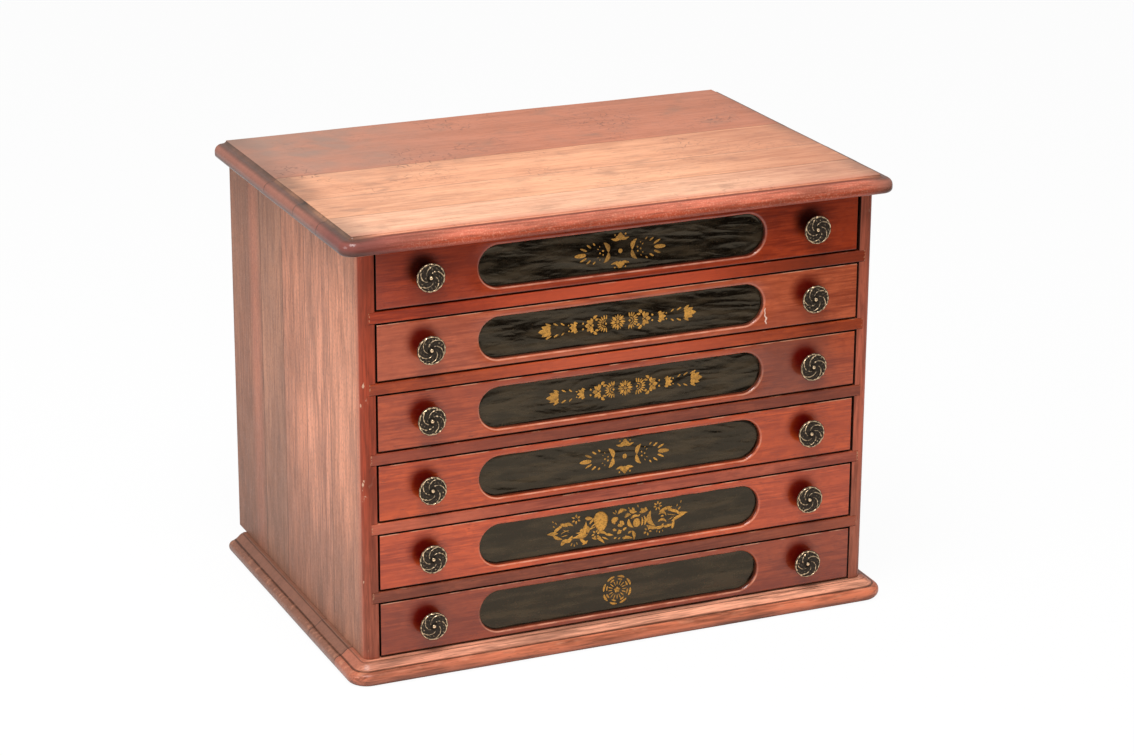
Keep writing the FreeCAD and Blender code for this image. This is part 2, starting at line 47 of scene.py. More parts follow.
# ---------------------------------------------------------------------------------------------
# Camera. It stands in front and a little to the left, above the top of the cabinet, with a
# long lens, so that the front, the left side and the whole top are in view.
# ---------------------------------------------------------------------------------------------
CAMERA_PLACE, CAMERA_LENS = (-1.35814, -3.13922, 1.41990), 104.62
CAMERA_TURN, CAMERA_TILT, CAMERA_ROLL = (math.radians(a) for a in (23.728, -19.178, 0.302))
camera = bpy.data.objects.new("camera", bpy.data.cameras.new("camera"))
camera.data.lens = CAMERA_LENS
camera.matrix_world = (Matrix.Translation(CAMERA_PLACE)
                       @ Matrix.Rotation(-CAMERA_TURN, 4, "Z")
                       @ Matrix.Rotation(math.pi / 2 + CAMERA_TILT, 4, "X")
                       @ Matrix.Rotation(CAMERA_ROLL, 4, "Z"))
scene.collection.objects.link(camera)
scene.camera = camera
scene.view_settings.view_transform = "Standard"

# ---------------------------------------------------------------------------------------------
# Surroundings. White studio paper lies on the floor, with white air above it. The paper
# keeps a faint shadow round the base; in the varnish it is seen to end in front of the
# cabinet, where the dark floor of the studio begins.
# ---------------------------------------------------------------------------------------------


class Shade:
    """One socket of a material's or the world's nodes, so that shader maths reads as Python."""

    def __init__(self, tree, socket=None):
        self.tree, self.socket = tree, socket

    def node(self, kind, settings=(), sockets=(), output=0):
        """Add a node: first its settings, then the values or links of its sockets."""
        made = self.tree.nodes.new(kind)
        for name, setting in dict(settings).items():
            setattr(made, name, setting)
        for name, given in dict(sockets).items():
            if isinstance(given, Shade):
                self.tree.links.new(given.socket, made.inputs[name])
            else:
                made.inputs[name].default_value = given
        return Shade(self.tree, made.outputs[output])

    def __add__(self, other):
        return self.node("ShaderNodeMath", {"operation": "ADD"}, {0: self, 1: other})

    def __sub__(self, other):
        return self.node("ShaderNodeMath", {"operation": "SUBTRACT"}, {0: self, 1: other})

    def __rsub__(self, other):
        return self.node("ShaderNodeMath", {"operation": "SUBTRACT"}, {0: other, 1: self})

    def __mul__(self, other):
        return self.node("ShaderNodeMath", {"operation": "MULTIPLY"}, {0: self, 1: other})

    def __abs__(self):
        return self.node("ShaderNodeMath", {"operation": "ABSOLUTE"}, {0: self})

    __radd__, __rmul__ = __add__, __mul__


def ray(tree, way):
    """1 for the rays of one kind (Camera, Glossy or Transmission), and 0 for the others."""
    return Shade(tree).node("ShaderNodeLightPath", output=f"Is {way} Ray")


def new_finish(name):
    """Empty material, and the point on the surface in the piece's own frame."""
    made = bpy.data.materials.new(name)
    made.use_nodes = True
    return made, Shade(made.node_tree).node("ShaderNodeTexCoord", output="Object")


def wire(made, sockets):
    """Give a material's own shader the values or links of its sockets."""
    shader = made.node_tree.nodes["Principled BSDF"]
    for name, given in sockets.items():
        if isinstance(given, Shade):
            made.node_tree.links.new(given.socket, shader.inputs[name])
        else:
            shader.inputs[name].default_value = given


def axis(place, number):
    """One coordinate of a point."""
    return place.node("ShaderNodeSeparateXYZ", sockets={0: place}, output=number)


def smooth(value, low, high):
    """0 at low, 1 at high and an S curve between."""
    return value.node("ShaderNodeMapRange", {"interpolation_type": "SMOOTHSTEP"}, {
        "Value": value, "From Min": low, "From Max": high})


def mix(amount, first, second):
    """Colour between first and second; three plain values give a plain colour."""
    shades = [item for item in (amount, first, second) if isinstance(item, Shade)]
    if not shades:
        return tuple(one + (other - one) * amount for one, other in zip(first, second))
    return shades[0].node("ShaderNodeMix", {"data_type": "RGBA"},
                          {0: amount, 6: first, 7: second}, output=2)


def tone(red, green, blue):
    """Colour as a shader socket takes it."""
    return (red, green, blue, 1.0)


AIR_LIGHT, AIR_SEEN = 0.42, 1.0
world = bpy.data.worlds.new("studio_air")
world.use_nodes = True
scene.world = world
air = world.node_tree.nodes["Background"]
air.inputs["Color"].default_value = (1, 1, 1, 1)
strength = ray(world.node_tree, "Camera") * (AIR_SEEN - AIR_LIGHT) + AIR_LIGHT
world.node_tree.links.new(strength.socket, air.inputs["Strength"])

FLOOR_WIDTH, FLOOR_WHITENESS = 9.0, 0.95
PAPER_EDGE, PAPER_SLANT, PAPER_BLUR = -1.53, 0.80, 0.15
PAPER_TONE, STUDIO_TONE = tone(0.86, 0.86, 0.86), tone(0.02, 0.017, 0.015)
floor_mesh = bpy.data.meshes.new("floor")
half = FLOOR_WIDTH / 2
floor_mesh.from_pydata([(-half, -half, 0), (half, -half, 0), (half, half, 0), (-half, half, 0)],
                       [], [(0, 1, 2, 3)])
floor = bpy.data.objects.new("floor", floor_mesh)
scene.collection.objects.link(floor)
paper, on_floor = new_finish("floor_paper")
tree = paper.node_tree
back_from_edge = axis(on_floor, 1) - axis(on_floor, 0) * PAPER_SLANT
past_paper = smooth(back_from_edge, PAPER_EDGE + PAPER_BLUR, PAPER_EDGE - PAPER_BLUR)
wire(paper, {"Base Color": mix(past_paper * ray(tree, "Glossy"), PAPER_TONE, STUDIO_TONE),
             "Roughness": 0.9, "Specular IOR Level": 0.0})
glow = on_floor.node("ShaderNodeEmission", sockets={"Color": (1, 1, 1, 1), "Strength": 1.0})
mixed_floor = glow.node("ShaderNodeMixShader", sockets={
    0: (ray(tree, "Camera") + ray(tree, "Transmission")) * FLOOR_WHITENESS,
    1: Shade(tree, tree.nodes["Principled BSDF"].outputs[0]), 2: glow})
tree.links.new(mixed_floor.socket, tree.nodes["Material Output"].inputs["Surface"])
floor.data.materials.append(paper)


def lamp(name, place, aim, width, power):
    """Square soft lamp at a place, turned to the point aim."""
    made = bpy.data.objects.new(name, bpy.data.lights.new(name, "AREA"))
    made.data.size = width
    made.data.energy = power
    made.matrix_world = (Matrix.Translation(place)
                         @ (Vector(aim) - Vector(place)).to_track_quat("-Z", "Y").to_matrix().to_4x4())
    scene.collection.objects.link(made)


CABINET_MIDDLE = (0, 0, 0.25)
lamp("key_lamp", (-0.55, -0.95, 2.60), CABINET_MIDDLE, width=1.3, power=66)
lamp("left_lamp", (-2.30, -0.50, 1.30), CABINET_MIDDLE, width=1.0, power=18)

# ---------------------------------------------------------------------------------------------
# Sides. Each is upright walnut-like boards glued edge to edge, about 16 mm thick, with a thin
# old varnish that has gone dull outside; the front edges are stained red with the front.
# ---------------------------------------------------------------------------------------------
ALONG_FRONT, ALONG_DEPTH, UPRIGHT = 0, 1, 2


def noise(place, scale, detail=2.0, distortion=0.0):
    """Cloudy field about 0.5, with about scale clouds to the metre."""
    return place.node("ShaderNodeTexNoise", sockets={
        "Vector": place, "Scale": scale, "Detail": detail, "Distortion": distortion})


def stretched(place, along, shrink, shift=None):
    """Point whose coordinate along the grain is shrunk, so that clouds grow long that way.

    A shift is added to all three coordinates, which gives each glued board clouds of its own.
    """
    factors = [1.0, 1.0, 1.0]
    factors[along] = shrink
    point = place.node("ShaderNodeVectorMath", {"operation": "MULTIPLY"}, {0: place, 1: factors})
    if shift is None:
        return point
    offset = place.node("ShaderNodeCombineXYZ", sockets={number: shift for number in range(3)})
    return place.node("ShaderNodeVectorMath", {"operation": "ADD"}, {0: point, 1: offset})


def larger(first, second):
    """The larger of two values."""
    return first.node("ShaderNodeMath", {"operation": "MAXIMUM"}, {0: first, 1: second})


def board_count(value, seams, softness=0.0003):
    """Number of seams below a coordinate, which tells the glued boards apart."""
    return sum((smooth(value, seam - softness, seam + softness) for seam in seams[1:]),
               smooth(value, seams[0] - softness, seams[0] + softness))


def board_tones(value, seams, tones, softness):
    """Colour that changes at each seam to the tone of the next board."""
    colour = tones[0]
    for seam, board_tone in zip(seams, tones[1:]):
        colour = mix(smooth(value, seam - softness, seam + softness), colour, board_tone)
    return colour


def seam_lines(value, seams, width):
    """1 on the dark glue lines between boards."""
    lines = [1 - smooth(abs(value - seam), width * 0.4, width) for seam in seams]
    total = lines[0]
    for line in lines[1:]:
        total = larger(total, line)
    return total


def layered(colour, *layers):
    """Colour under stains, dirt and wear, each laid on in turn by its amount and its colour."""
    for amount, stain in layers:
        colour = mix(amount, colour, stain)
    return colour


def wood(place, along, pale, dark, shift=None, pore_depth=0.45):
    """Colour and relief of straight-grained wood with long open pores.

    The colour runs between dark and pale with three clouds that are long along the grain: the
    figure, a few centimetres wide; streaks, a few millimetres; and fibres, about two. Pores are
    the short dark dashes where a finer cloud is at its highest.
    """
    figure = noise(stretched(place, along, 0.16, shift), 26, 4, 1.0)
    streaks = noise(stretched(place, along, 0.09, shift), 170, 3, 0.4)
    fibres = noise(stretched(place, along, 0.06, shift), 520, 3)
    pores = smooth(noise(stretched(place, along, 0.11, shift), 760, 2), 0.62, 0.73)
    blend = figure * 0.8 + streaks * 0.7 + fibres * 0.8
    colour = mix(smooth(blend, 0.86, 1.40), dark, pale)
    colour = mix(pores * pore_depth, colour, mix(0.55, dark, tone(0.02, 0.008, 0.004)))
    relief = fibres * 0.4 - pores
    return colour, relief


def bumped(relief, height, strength=1.0):
    """Surface direction over a relief that is height metres high."""
    return relief.node("ShaderNodeBump", sockets={
        "Strength": strength, "Distance": height, "Height": relief})


def varnish(made, colour, relief, roughness, grain_height=0.00015, coat=0.5, coat_roughness=0.18):
    """Wire a wood's colour, relief and gloss to its shader, under a film of old varnish."""
    wire(made, {"Base Color": colour, "Roughness": roughness, "Specular IOR Level": 0.1,
                "Coat Weight": coat, "Coat Roughness": coat_roughness,
                "Normal": bumped(relief, grain_height)})


def give(node, made):
    """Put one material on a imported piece."""
    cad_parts[node].data.materials.clear()
    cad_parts[node].data.materials.append(made)


CASE_FRONT, INNER_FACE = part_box("left_side")[0].y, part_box("right_side")[0].x
SIDE_SEAMS = (-0.1026, -0.0276, 0.0444, 0.1164)
SIDE_TONES = [tone(0.84, 0.350, 0.208), tone(0.85, 0.358, 0.218), tone(0.75, 0.305, 0.180),
              tone(0.52, 0.240, 0.146), tone(0.43, 0.185, 0.110)]
RUDDY_STREAK, PALE_EDGE_LEVEL = 0.1380, 0.25
LEFT_EDGE_TONE, RIGHT_EDGE_TONE = tone(0.37, 0.056, 0.023), tone(0.355, 0.086, 0.046)
BROWN_EDGE_TONE, PALE_EDGE_TONE = tone(0.40, 0.135, 0.080), tone(0.71, 0.171, 0.092)

side_finish, place = new_finish("side_varnish")
across, depth, height = (axis(place, number) for number in range(3))
pale_side = board_tones(depth, SIDE_SEAMS, SIDE_TONES, 0.0004)
dark_side = mix(0.66, pale_side, tone(0.13, 0.052, 0.034))
board = board_count(depth, SIDE_SEAMS)
side_colour, side_relief = wood(place, UPRIGHT, pale_side, dark_side, board * 0.37)
faded = noise(place, 5.5, 2) + noise(stretched(place, UPRIGHT, 0.25), 24, 2) * 0.5
ruddy = 1 - smooth(abs(depth - RUDDY_STREAK), 0.004, 0.024)
# Darker towards the top and the foot: partly painted shade under the top's overhang and near the base,
# partly faded finish.
darker_top_and_foot = (1 - smooth(height, 0.04, 0.26)) * 0.56 + smooth(height, 0.38, 0.46) * 0.42
streaky = noise(stretched(place, UPRIGHT, 0.12), 240, 3) * 1.4 + 0.3
stained_corner = 1 - smooth(depth, CASE_FRONT + 0.006, CASE_FRONT + 0.020)
to_right = smooth(across, -0.1, 0.1)
paler_edge = (1 - smooth(abs(height - PALE_EDGE_LEVEL), 0.04, 0.15)) * to_right
edge_tone = layered(
    mix(to_right, LEFT_EDGE_TONE, RIGHT_EDGE_TONE),
    ((1 - smooth(height, 0.04, 0.24)) * 0.6, BROWN_EDGE_TONE), (paler_edge * 0.5, PALE_EDGE_TONE))
edge_colour = wood(place, UPRIGHT, edge_tone, mix(0.55, edge_tone, tone(0.05, 0.012, 0.006)))[0]
on_front = 1 - smooth(depth, CASE_FRONT + 0.0050, CASE_FRONT + 0.0085)
corner = 1 - smooth(abs(depth - (CASE_FRONT + 0.0030)), 0.0012, 0.0034)
chips = smooth(noise(stretched(place, UPRIGHT, 0.5), 210, 3), 0.60, 0.65) * corner
chips = chips * smooth(noise(place, 21, 1), 0.52, 0.62)
specks = smooth(noise(stretched(place, UPRIGHT, 0.4), 620, 3), 0.50, 0.66) * (1 - on_front)
pale_specks = smooth(noise(place, 780, 2), 0.62, 0.72) * (1 - on_front)
# Painted shade on the inner faces of the sides just behind the front: black there, bare wood deeper in.
inner_face = 1 - smooth(abs(across), INNER_FACE + 0.0002, INNER_FACE + 0.0006)
inner_shade_tone = mix(smooth(depth, CASE_FRONT + 0.010, CASE_FRONT + 0.040), tone(0.014, 0.006, 0.004),
                 tone(0.28, 0.160, 0.088))
side_colour = layered(
    side_colour, ((1 - smooth(faded, 0.55, 0.95)) * 0.35, tone(0.20, 0.105, 0.072)),
    (ruddy * 0.36, tone(0.74, 0.250, 0.150)), (darker_top_and_foot * streaky, tone(0.17, 0.082, 0.052)),
    (stained_corner * 0.5, tone(0.50, 0.120, 0.060)),
    (seam_lines(depth, SIDE_SEAMS, 0.0008) * 0.8, tone(0.05, 0.02, 0.012)),
    (on_front, edge_colour), (chips * 0.8, tone(0.62, 0.40, 0.27)),
    (specks * 0.35, tone(0.14, 0.070, 0.048)), (pale_specks * 0.25, tone(0.80, 0.52, 0.40)),
    (inner_face * 0.92, inner_shade_tone))
side_dullness = noise(place, 60, 3) * 0.25 + 0.40 - on_front * 0.14
varnish(side_finish, side_colour, side_relief - specks * 0.8, side_dullness, coat=0.15,
        coat_roughness=0.3)
for side in ("left_side", "right_side"):
    give(side, side_finish)

# ---------------------------------------------------------------------------------------------
# Rails. Five thin strips across the front, let into the sides between the drawers, stained
# red and varnished; their upper front arrises are rubbed pale by the drawers.
# ---------------------------------------------------------------------------------------------
RAIL_TONES = [(0.44, 0.050, 0.010), (0.42, 0.064, 0.012), (0.29, 0.060, 0.024),
              (0.45, 0.092, 0.042), (0.27, 0.062, 0.026)]
# RAIL_PAINTED_SHEEN: share of a painted reflection, lighter and more orange, in the middle of each rail.
RAIL_PAINTED_SHEEN = (0.50, 0.45, 0.0, 0.0, 0.0)
RAIL_ENDS = {(1, 1): (0.75, tone(0.157, 0.024, 0.0075)), (3, -1): (0.28, tone(0.43, 0.069, 0.032)),
             (4, -1): (0.34, tone(0.66, 0.149, 0.069)), (5, 1): (0.33, tone(0.43, 0.086, 0.033))}


def red_wood(name, pale, shift, patches=0.5):
    """Red-stained wood before wear: finish, moved point for its grain, point, colour, relief."""
    made, spot = new_finish(name)
    dark = tone(*(channel * share for channel, share in zip(pale, (0.50, 0.38, 0.34))))
    moved = spot.node("ShaderNodeVectorMath", {"operation": "ADD"}, {0: spot, 1: (shift,) * 3})
    colour, relief = wood(moved, ALONG_FRONT, tone(*pale), dark, pore_depth=0.55)
    cloud = smooth(noise(stretched(moved, ALONG_FRONT, 0.4), 26, 3), 0.42, 0.62)
    mottle = smooth(noise(stretched(moved, ALONG_FRONT, 0.6), 150, 4, 0.5), 0.42, 0.66)
    colour = layered(colour, (cloud * patches, mix(0.6, tone(*pale), dark)), (mottle * 0.35, dark))
    return made, moved, spot, colour, relief


for number, rail_tone in enumerate(RAIL_TONES, start=1):
    node = f"rail_{number}"
    low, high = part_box(node)
    made, moved, spot, colour, relief = red_wood(f"{node}_stain", rail_tone, 0.31 * number)
    across, height = axis(spot, 0), axis(spot, 2)
    # Painted reflection in the middle of rails 1 and 2.
    in_middle = 1 - smooth(abs(across), 0.04, 0.20)
    at_ends = [(smooth(across * way, 0.08, 0.22) * share, end_tone)
               for (rail, way), (share, end_tone) in RAIL_ENDS.items() if rail == number]
    upper_arris = smooth(height, high.z - 0.0011, high.z - 0.0003)
    rubbed = upper_arris * smooth(noise(stretched(moved, ALONG_FRONT, 0.3), 160, 3), 0.58, 0.66)
    # Painted shade along the rail's lower edge, over the gap above the drawer below.
    rail_gap_shade = 1 - smooth(height, low.z + 0.0003, low.z + 0.0009)
    ends = smooth(abs(across), high.x - 0.0022, high.x - 0.0008)
    chipped = ends * smooth(noise(moved, 420, 2), 0.52, 0.60)
    colour = layered(
        colour, (in_middle * RAIL_PAINTED_SHEEN[number - 1], tone(0.60, 0.098, 0.040)), *at_ends,
        (rubbed * 0.35, tone(0.60, 0.33, 0.20)), (rail_gap_shade * 0.85, tone(0.03, 0.010, 0.006)),
        (chipped * 0.8, tone(0.46, 0.22, 0.11)))
    varnish(made, colour, relief, noise(moved, 70, 2) * 0.2 + 0.28)
    give(node, made)

# ---------------------------------------------------------------------------------------------
# Top slab. Four boards glued edge to edge with the grain along the front, moulded along the
# front and both ends with a cove, an ovolo and a rounded underside, and varnished glossy. The
# boards have moved a little, so the joints show, and the right end isn't quite square.
# ---------------------------------------------------------------------------------------------


def link_mesh(name, vertices, faces, sharp=None, field=None):
    """Object of an outward-facing smooth mesh whose touching points are merged.

    Edges that turn by more than sharp degrees are kept sharp. A field is the name and the values
    of a number at each point, which a material reads.
    """
    mesh = bpy.data.meshes.new(name)
    mesh.from_pydata(vertices.tolist(), [], faces)
    if field:
        values = mesh.attributes.new(field[0], "FLOAT", "POINT").data
        values.foreach_set("value", field[1].astype(np.float32))
    work = bmesh.new()
    work.from_mesh(mesh)
    bmesh.ops.remove_doubles(work, verts=work.verts, dist=1e-6)
    bmesh.ops.dissolve_degenerate(work, edges=work.edges, dist=1e-7)
    bmesh.ops.recalc_face_normals(work, faces=work.faces)
    work.to_mesh(mesh)
    work.free()
    mesh.polygons.foreach_set("use_smooth", np.ones(len(mesh.polygons), bool))
    made = bpy.data.objects.new(name, mesh)
    scene.collection.objects.link(made)
    if sharp:
        mesh.set_sharp_from_angle(angle=math.radians(sharp))
    return made


def grid_faces(rows, columns, first=0, closed=False):
    """Quads of a grid of rows by columns whose vertices are counted row by row."""
    wide = columns if closed else columns - 1
    row, column = (part.ravel() for part in np.mgrid[0:rows - 1, 0:wide])
    following = (column + 1) % columns
    corners = (row * columns + column, row * columns + following,
               (row + 1) * columns + following, (row + 1) * columns + column)
    return (first + np.stack(corners, -1)).tolist()


def drift(points, wavelength, seed, waves=7):
    """Slow random waviness about 0: 1.8 times the mean of sine waves of random way and phase."""
    draw = np.random.default_rng(seed)
    ways = draw.normal(size=(waves, points.shape[-1]))
    ways *= 2 * np.pi / wavelength / np.linalg.norm(ways, axis=1, keepdims=True)
    phases = draw.uniform(0, 2 * np.pi, waves)
    return np.sin(points @ ways.T + phases).mean(-1) * 1.8


def arc_points(centre, radius, start, stop, count):
    """Points on an arc of a section: (outward, up) pairs from angle start to stop, degrees."""
    angle = np.radians(np.linspace(start, stop, count))
    return np.stack([centre[0] + radius * np.cos(angle), centre[1] + radius * np.sin(angle)], -1)


def moulded_slab(low, high, width, corner, section, front_count=180, side_count=110):
    """Slab with a section swept along its left, front and right edges, and a square-cut back.

    The plan path is the arris where the moulding starts: back to front on the left, a quarter
    circle, the front, a quarter circle, front to back on the right. A moulding point is path
    point plus outward normal times the section's first coordinate, at the section's second
    coordinate in height. Rows between mirrored path points fill the flat top and underside, and
    faces at the path's two ends and between the flats' back edges close the back.
    """
    left, right, front, back = low.x + width, high.x - width, low.y + width, high.y
    legs = np.linspace(back, front + corner, side_count)
    turn = np.radians(np.linspace(0, 90, 9))
    run = np.linspace(left + corner, right - corner, front_count)
    path = np.concatenate([
        np.stack([np.full(side_count, left), legs], -1),
        np.stack([left + corner - corner * np.cos(turn),
                  front + corner - corner * np.sin(turn)], -1)[1:],
        np.stack([run, np.full(front_count, front)], -1)[1:-1],
        np.stack([right - corner + corner * np.sin(turn),
                  front + corner - corner * np.cos(turn)], -1)[:-1],
        np.stack([np.full(side_count, right), legs[::-1]], -1)])
    normal = np.concatenate([
        np.tile([-1.0, 0.0], (side_count, 1)),
        np.stack([-np.cos(turn), -np.sin(turn)], -1)[1:],
        np.tile([0.0, -1.0], (front_count - 2, 1)),
        np.stack([np.sin(turn), -np.cos(turn)], -1)[:-1],
        np.tile([1.0, 0.0], (side_count, 1))])
    rim = path[:, None, :] + normal[:, None, :] * section[None, :, :1]
    heights = np.broadcast_to(low.z + section[None, :, 1:], rim.shape[:2] + (1,))
    moulding = np.concatenate([rim, heights], -1)
    side_rows = side_count + len(turn) - 1
    share = np.linspace(0, 1, front_count)[None, :, None]
    flats = []
    for level in (section[0, 1], section[-1, 1]):
        near = path[:side_rows][:, None, :]
        far = path[::-1][:side_rows][:, None, :]
        plan = near + (far - near) * share
        flats.append(np.concatenate([plan, np.full(plan.shape[:2] + (1,), low.z + level)], -1))
    cap = np.stack([flats[0][0], flats[1][0]])
    vertices, faces, count = [], [], 0
    for block in (moulding, flats[0], flats[1], cap):
        faces += grid_faces(block.shape[0], block.shape[1], count)
        count += block.shape[0] * block.shape[1]
        vertices.append(block.reshape(-1, 3))
    points = len(section)
    faces += [list(range(points)), list(range((len(path) - 1) * points, len(path) * points))[::-1]]
    return np.concatenate(vertices), faces


def slab_piece(name, vertices, faces, node):
    """Link a slab's mesh, with its square-cut back kept sharp, and let it stand for its node."""
    made = link_mesh(name, vertices, faces, sharp=38)
    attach(made, "case")
    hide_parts(node)
    return made


def seam_step(vertices, seams, step, soft=0.0004):
    """Height by which glued boards stand proud in turn.

    It is the sum over the seams of step over 1 + e ** (-(y - seam) / soft), added at the first
    seam, taken off at the next and so on.
    """
    rise = np.zeros(len(vertices))
    for number, seam in enumerate(seams):
        rise += step * (-1) ** number / (1 + np.exp(-(vertices[:, 1] - seam) / soft))
    return rise


TOP_WIDTH, TOP_THICK, TOP_CORNER = 0.0135, 0.0190, 0.0018
TOP_QUIRK, TOP_OVOLO, TOP_NOSE = 0.0030, 0.0082, 0.0045
TOP_SEAMS = (-0.1346, -0.0636, 0.0274)
TOP_OUT_OF_SQUARE, SLAB_INSET, SLAB_REACH = 0.0068, 0.0005, 0.3
TOP_STEP, TOP_SUNK, TOP_SWAY, TOP_HEAVE = 0.00022, 0.0006, 0.00025, 0.00018
TOP_FRONT_BAND, TOP_RAISED_ABOVE = 0.02, 0.008

quirk_level = TOP_THICK - TOP_QUIRK
cove_out = TOP_WIDTH - TOP_OVOLO
top_section = np.concatenate([
    [[0.0, TOP_THICK]],
    arc_points((cove_out, TOP_THICK), cove_out, 188, 262, 7),
    arc_points((cove_out, quirk_level - TOP_OVOLO), TOP_OVOLO, 90, 0, 16),
    arc_points((TOP_WIDTH - TOP_NOSE, TOP_NOSE), TOP_NOSE, 0, -90, 9),
    [[0.0, 0.0]]])
top_section[1:8, 1] = TOP_THICK - (TOP_THICK - top_section[1:8, 1]) * TOP_QUIRK / cove_out
low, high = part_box("top")
vertices, faces = moulded_slab(low, high, TOP_WIDTH, TOP_CORNER, top_section)
backward = (vertices[:, 1] - low.y) / (high.y - low.y)
rightward = np.clip((vertices[:, 0] - low.x) / (high.x - low.x), 0, 1)
vertices[:, 0] -= TOP_OUT_OF_SQUARE * backward * rightward ** 3
shrink = 1 - SLAB_INSET / SLAB_REACH
vertices[:, 0] = vertices[:, 0] * shrink + drift(vertices, 0.11, 3) * TOP_SWAY
vertices[:, 1] += np.where(vertices[:, 1] < low.y + TOP_FRONT_BAND,
                           SLAB_INSET + drift(vertices, 0.13, 4) * TOP_SWAY, 0)
top_rise = seam_step(vertices, TOP_SEAMS, TOP_STEP) - TOP_SUNK
top_rise += drift(vertices, 0.16, 5) * TOP_HEAVE
vertices[:, 2] += top_rise * (vertices[:, 2] > low.z + TOP_RAISED_ABOVE)
top_boards = slab_piece("top_boards", vertices, faces, "top")


def distance(one, other):
    """Distance of a point from a line, from its two coordinates across that line."""
    return one.node("ShaderNodeMath", {"operation": "SQRT"}, {0: one * one + other * other})


TOP_TONES = [tone(0.93, 0.500, 0.305), tone(0.91, 0.440, 0.240), tone(0.88, 0.405, 0.215),
             tone(0.58, 0.195, 0.100)]
top_finish, place = new_finish("top_varnish")
across, depth, height = (axis(place, number) for number in range(3))
wandering = depth + (noise(stretched(place, ALONG_FRONT, 0.3), 40, 2) - 0.5) * 0.0016
pale_top = board_tones(wandering, TOP_SEAMS, TOP_TONES, 0.0005)
dark_top = mix(0.50, pale_top, tone(0.34, 0.095, 0.035))
board = board_count(wandering, TOP_SEAMS)
top_colour, top_relief = wood(place, ALONG_FRONT, pale_top, dark_top, board * 0.53, pore_depth=0.5)
smudges = smooth(noise(place, 21, 5, 0.4), 0.48, 0.72)
smudges = smudges * smooth(noise(stretched(place, ALONG_FRONT, 0.5), 75, 4), 0.36, 0.66)
dull_left = (1 - smooth(abs(across + 0.24), 0.0, 0.18)) * smooth(noise(place, 30, 6), 0.28, 0.72)
dull_left = dull_left * (smooth(depth, -0.05, 0.14) * 0.90 + 0.06)
hazy = (1 - smooth(across, -0.30, 0.05)) * (smooth(depth, 0.01, 0.05) * 0.42 + 0.10)
front_wear = smooth(0.0 - depth, 0.186, 0.2036) * (noise(place, 260, 3) * 0.5 + 0.38)
dull_right = smooth(across, 0.08, 0.25) * (1 - smooth(depth, 0.02, 0.03))
warped = place.node("ShaderNodeMix", {"data_type": "VECTOR"}, {
    0: 0.012, 4: place, 5: place.node("ShaderNodeTexNoise", sockets={
        "Vector": place, "Scale": 60.0, "Detail": 3.0}, output=1)}, output=1)
crazing = warped.node("ShaderNodeTexVoronoi", {"feature": "DISTANCE_TO_EDGE"}, {
    "Vector": warped, "Scale": 95.0})
crazed = (1 - smooth(crazing, 0.015, 0.060)) * smooth(noise(place, 14, 3), 0.50, 0.64)
crazed = crazed * smooth(noise(place, 120, 2), 0.42, 0.58)
crazed = crazed * (smooth(depth, -0.10, 0.04) * 0.45 + 0.25)
below = high.z - height
moulded = smooth(below, 0.0026, 0.0036)
end_grain = smooth(abs(across), 0.262, 0.300)
speckle = smooth(noise(place, 620, 3), 0.50, 0.66) * 0.4
wine_corner = (1 - smooth(distance(across + 0.30, depth + 0.20), 0.015, 0.120)) * 0.85
# The moulding is lighter on its upper part and darker lower down, partly painted light and shade by how
# the parts face the light.
moulding_tone = layered(
    mix(smooth(below, 0.0060, 0.0130), tone(0.62, 0.165, 0.098), tone(0.52, 0.092, 0.040)),
    (speckle, tone(0.86, 0.370, 0.240)), (end_grain, tone(0.31, 0.118, 0.080)),
    (wine_corner, tone(0.17, 0.045, 0.038)))
moulding_dark = mix(0.6 - end_grain * 0.42, moulding_tone, tone(0.07, 0.02, 0.01))
moulding_colour = wood(place, ALONG_FRONT, moulding_tone, moulding_dark)[0]
# Painted shade in the quirk of the front moulding.
quirk_shade = (1 - smooth(abs(below - 0.0029), 0.0003, 0.0008)) * (1 - end_grain)
# Darker in the cove of the end mouldings: partly painted shade where the cove faces away from the light,
# partly grime.
cove_shade_and_grime = smooth(below, 0.0, 0.0010) * (1 - smooth(below, 0.0028, 0.0060)) * end_grain
# Painted shade on the lower half of the nose, which faces down.
nose_underside_shade = smooth(below, 0.0100, 0.0165) * (end_grain * 0.50 + 0.26)
nose_shade_tone = mix(end_grain, tone(0.150, 0.013, 0.004), tone(0.045, 0.018, 0.011))
# Painted highlight along the lower arris of the end mouldings.
underside_highlight = smooth(below, 0.0180, 0.0187) * end_grain * smooth(noise(place, 12, 2), 0.36, 0.50)
joints = seam_lines(wandering, TOP_SEAMS, 0.0009)
top_colour = layered(
    top_colour, (smudges * 0.5, tone(0.28, 0.140, 0.085)), (dull_left, tone(0.28, 0.170, 0.125)),
    (hazy, tone(0.37, 0.205, 0.145)), (front_wear, tone(0.60, 0.185, 0.110)),
    (dull_right * 0.40, tone(0.36, 0.080, 0.030)), (crazed, tone(0.15, 0.060, 0.035)),
    (moulded, moulding_colour), (quirk_shade * 0.8, tone(0.085, 0.016, 0.012)),
    (cove_shade_and_grime * (noise(place, 26, 3) * 0.8 + 0.40), tone(0.052, 0.028, 0.018)),
    (nose_underside_shade, nose_shade_tone), (underside_highlight * 0.8, tone(0.80, 0.66, 0.54)),
    (joints * (moulded * 0.5 + 0.35), tone(0.06, 0.025, 0.015)))
top_dullness = noise(place, 45, 3) * 0.25 + 0.24
varnish(top_finish, top_colour, top_relief - joints * 3, top_dullness, coat_roughness=0.13)
top_boards.data.materials.append(top_finish)

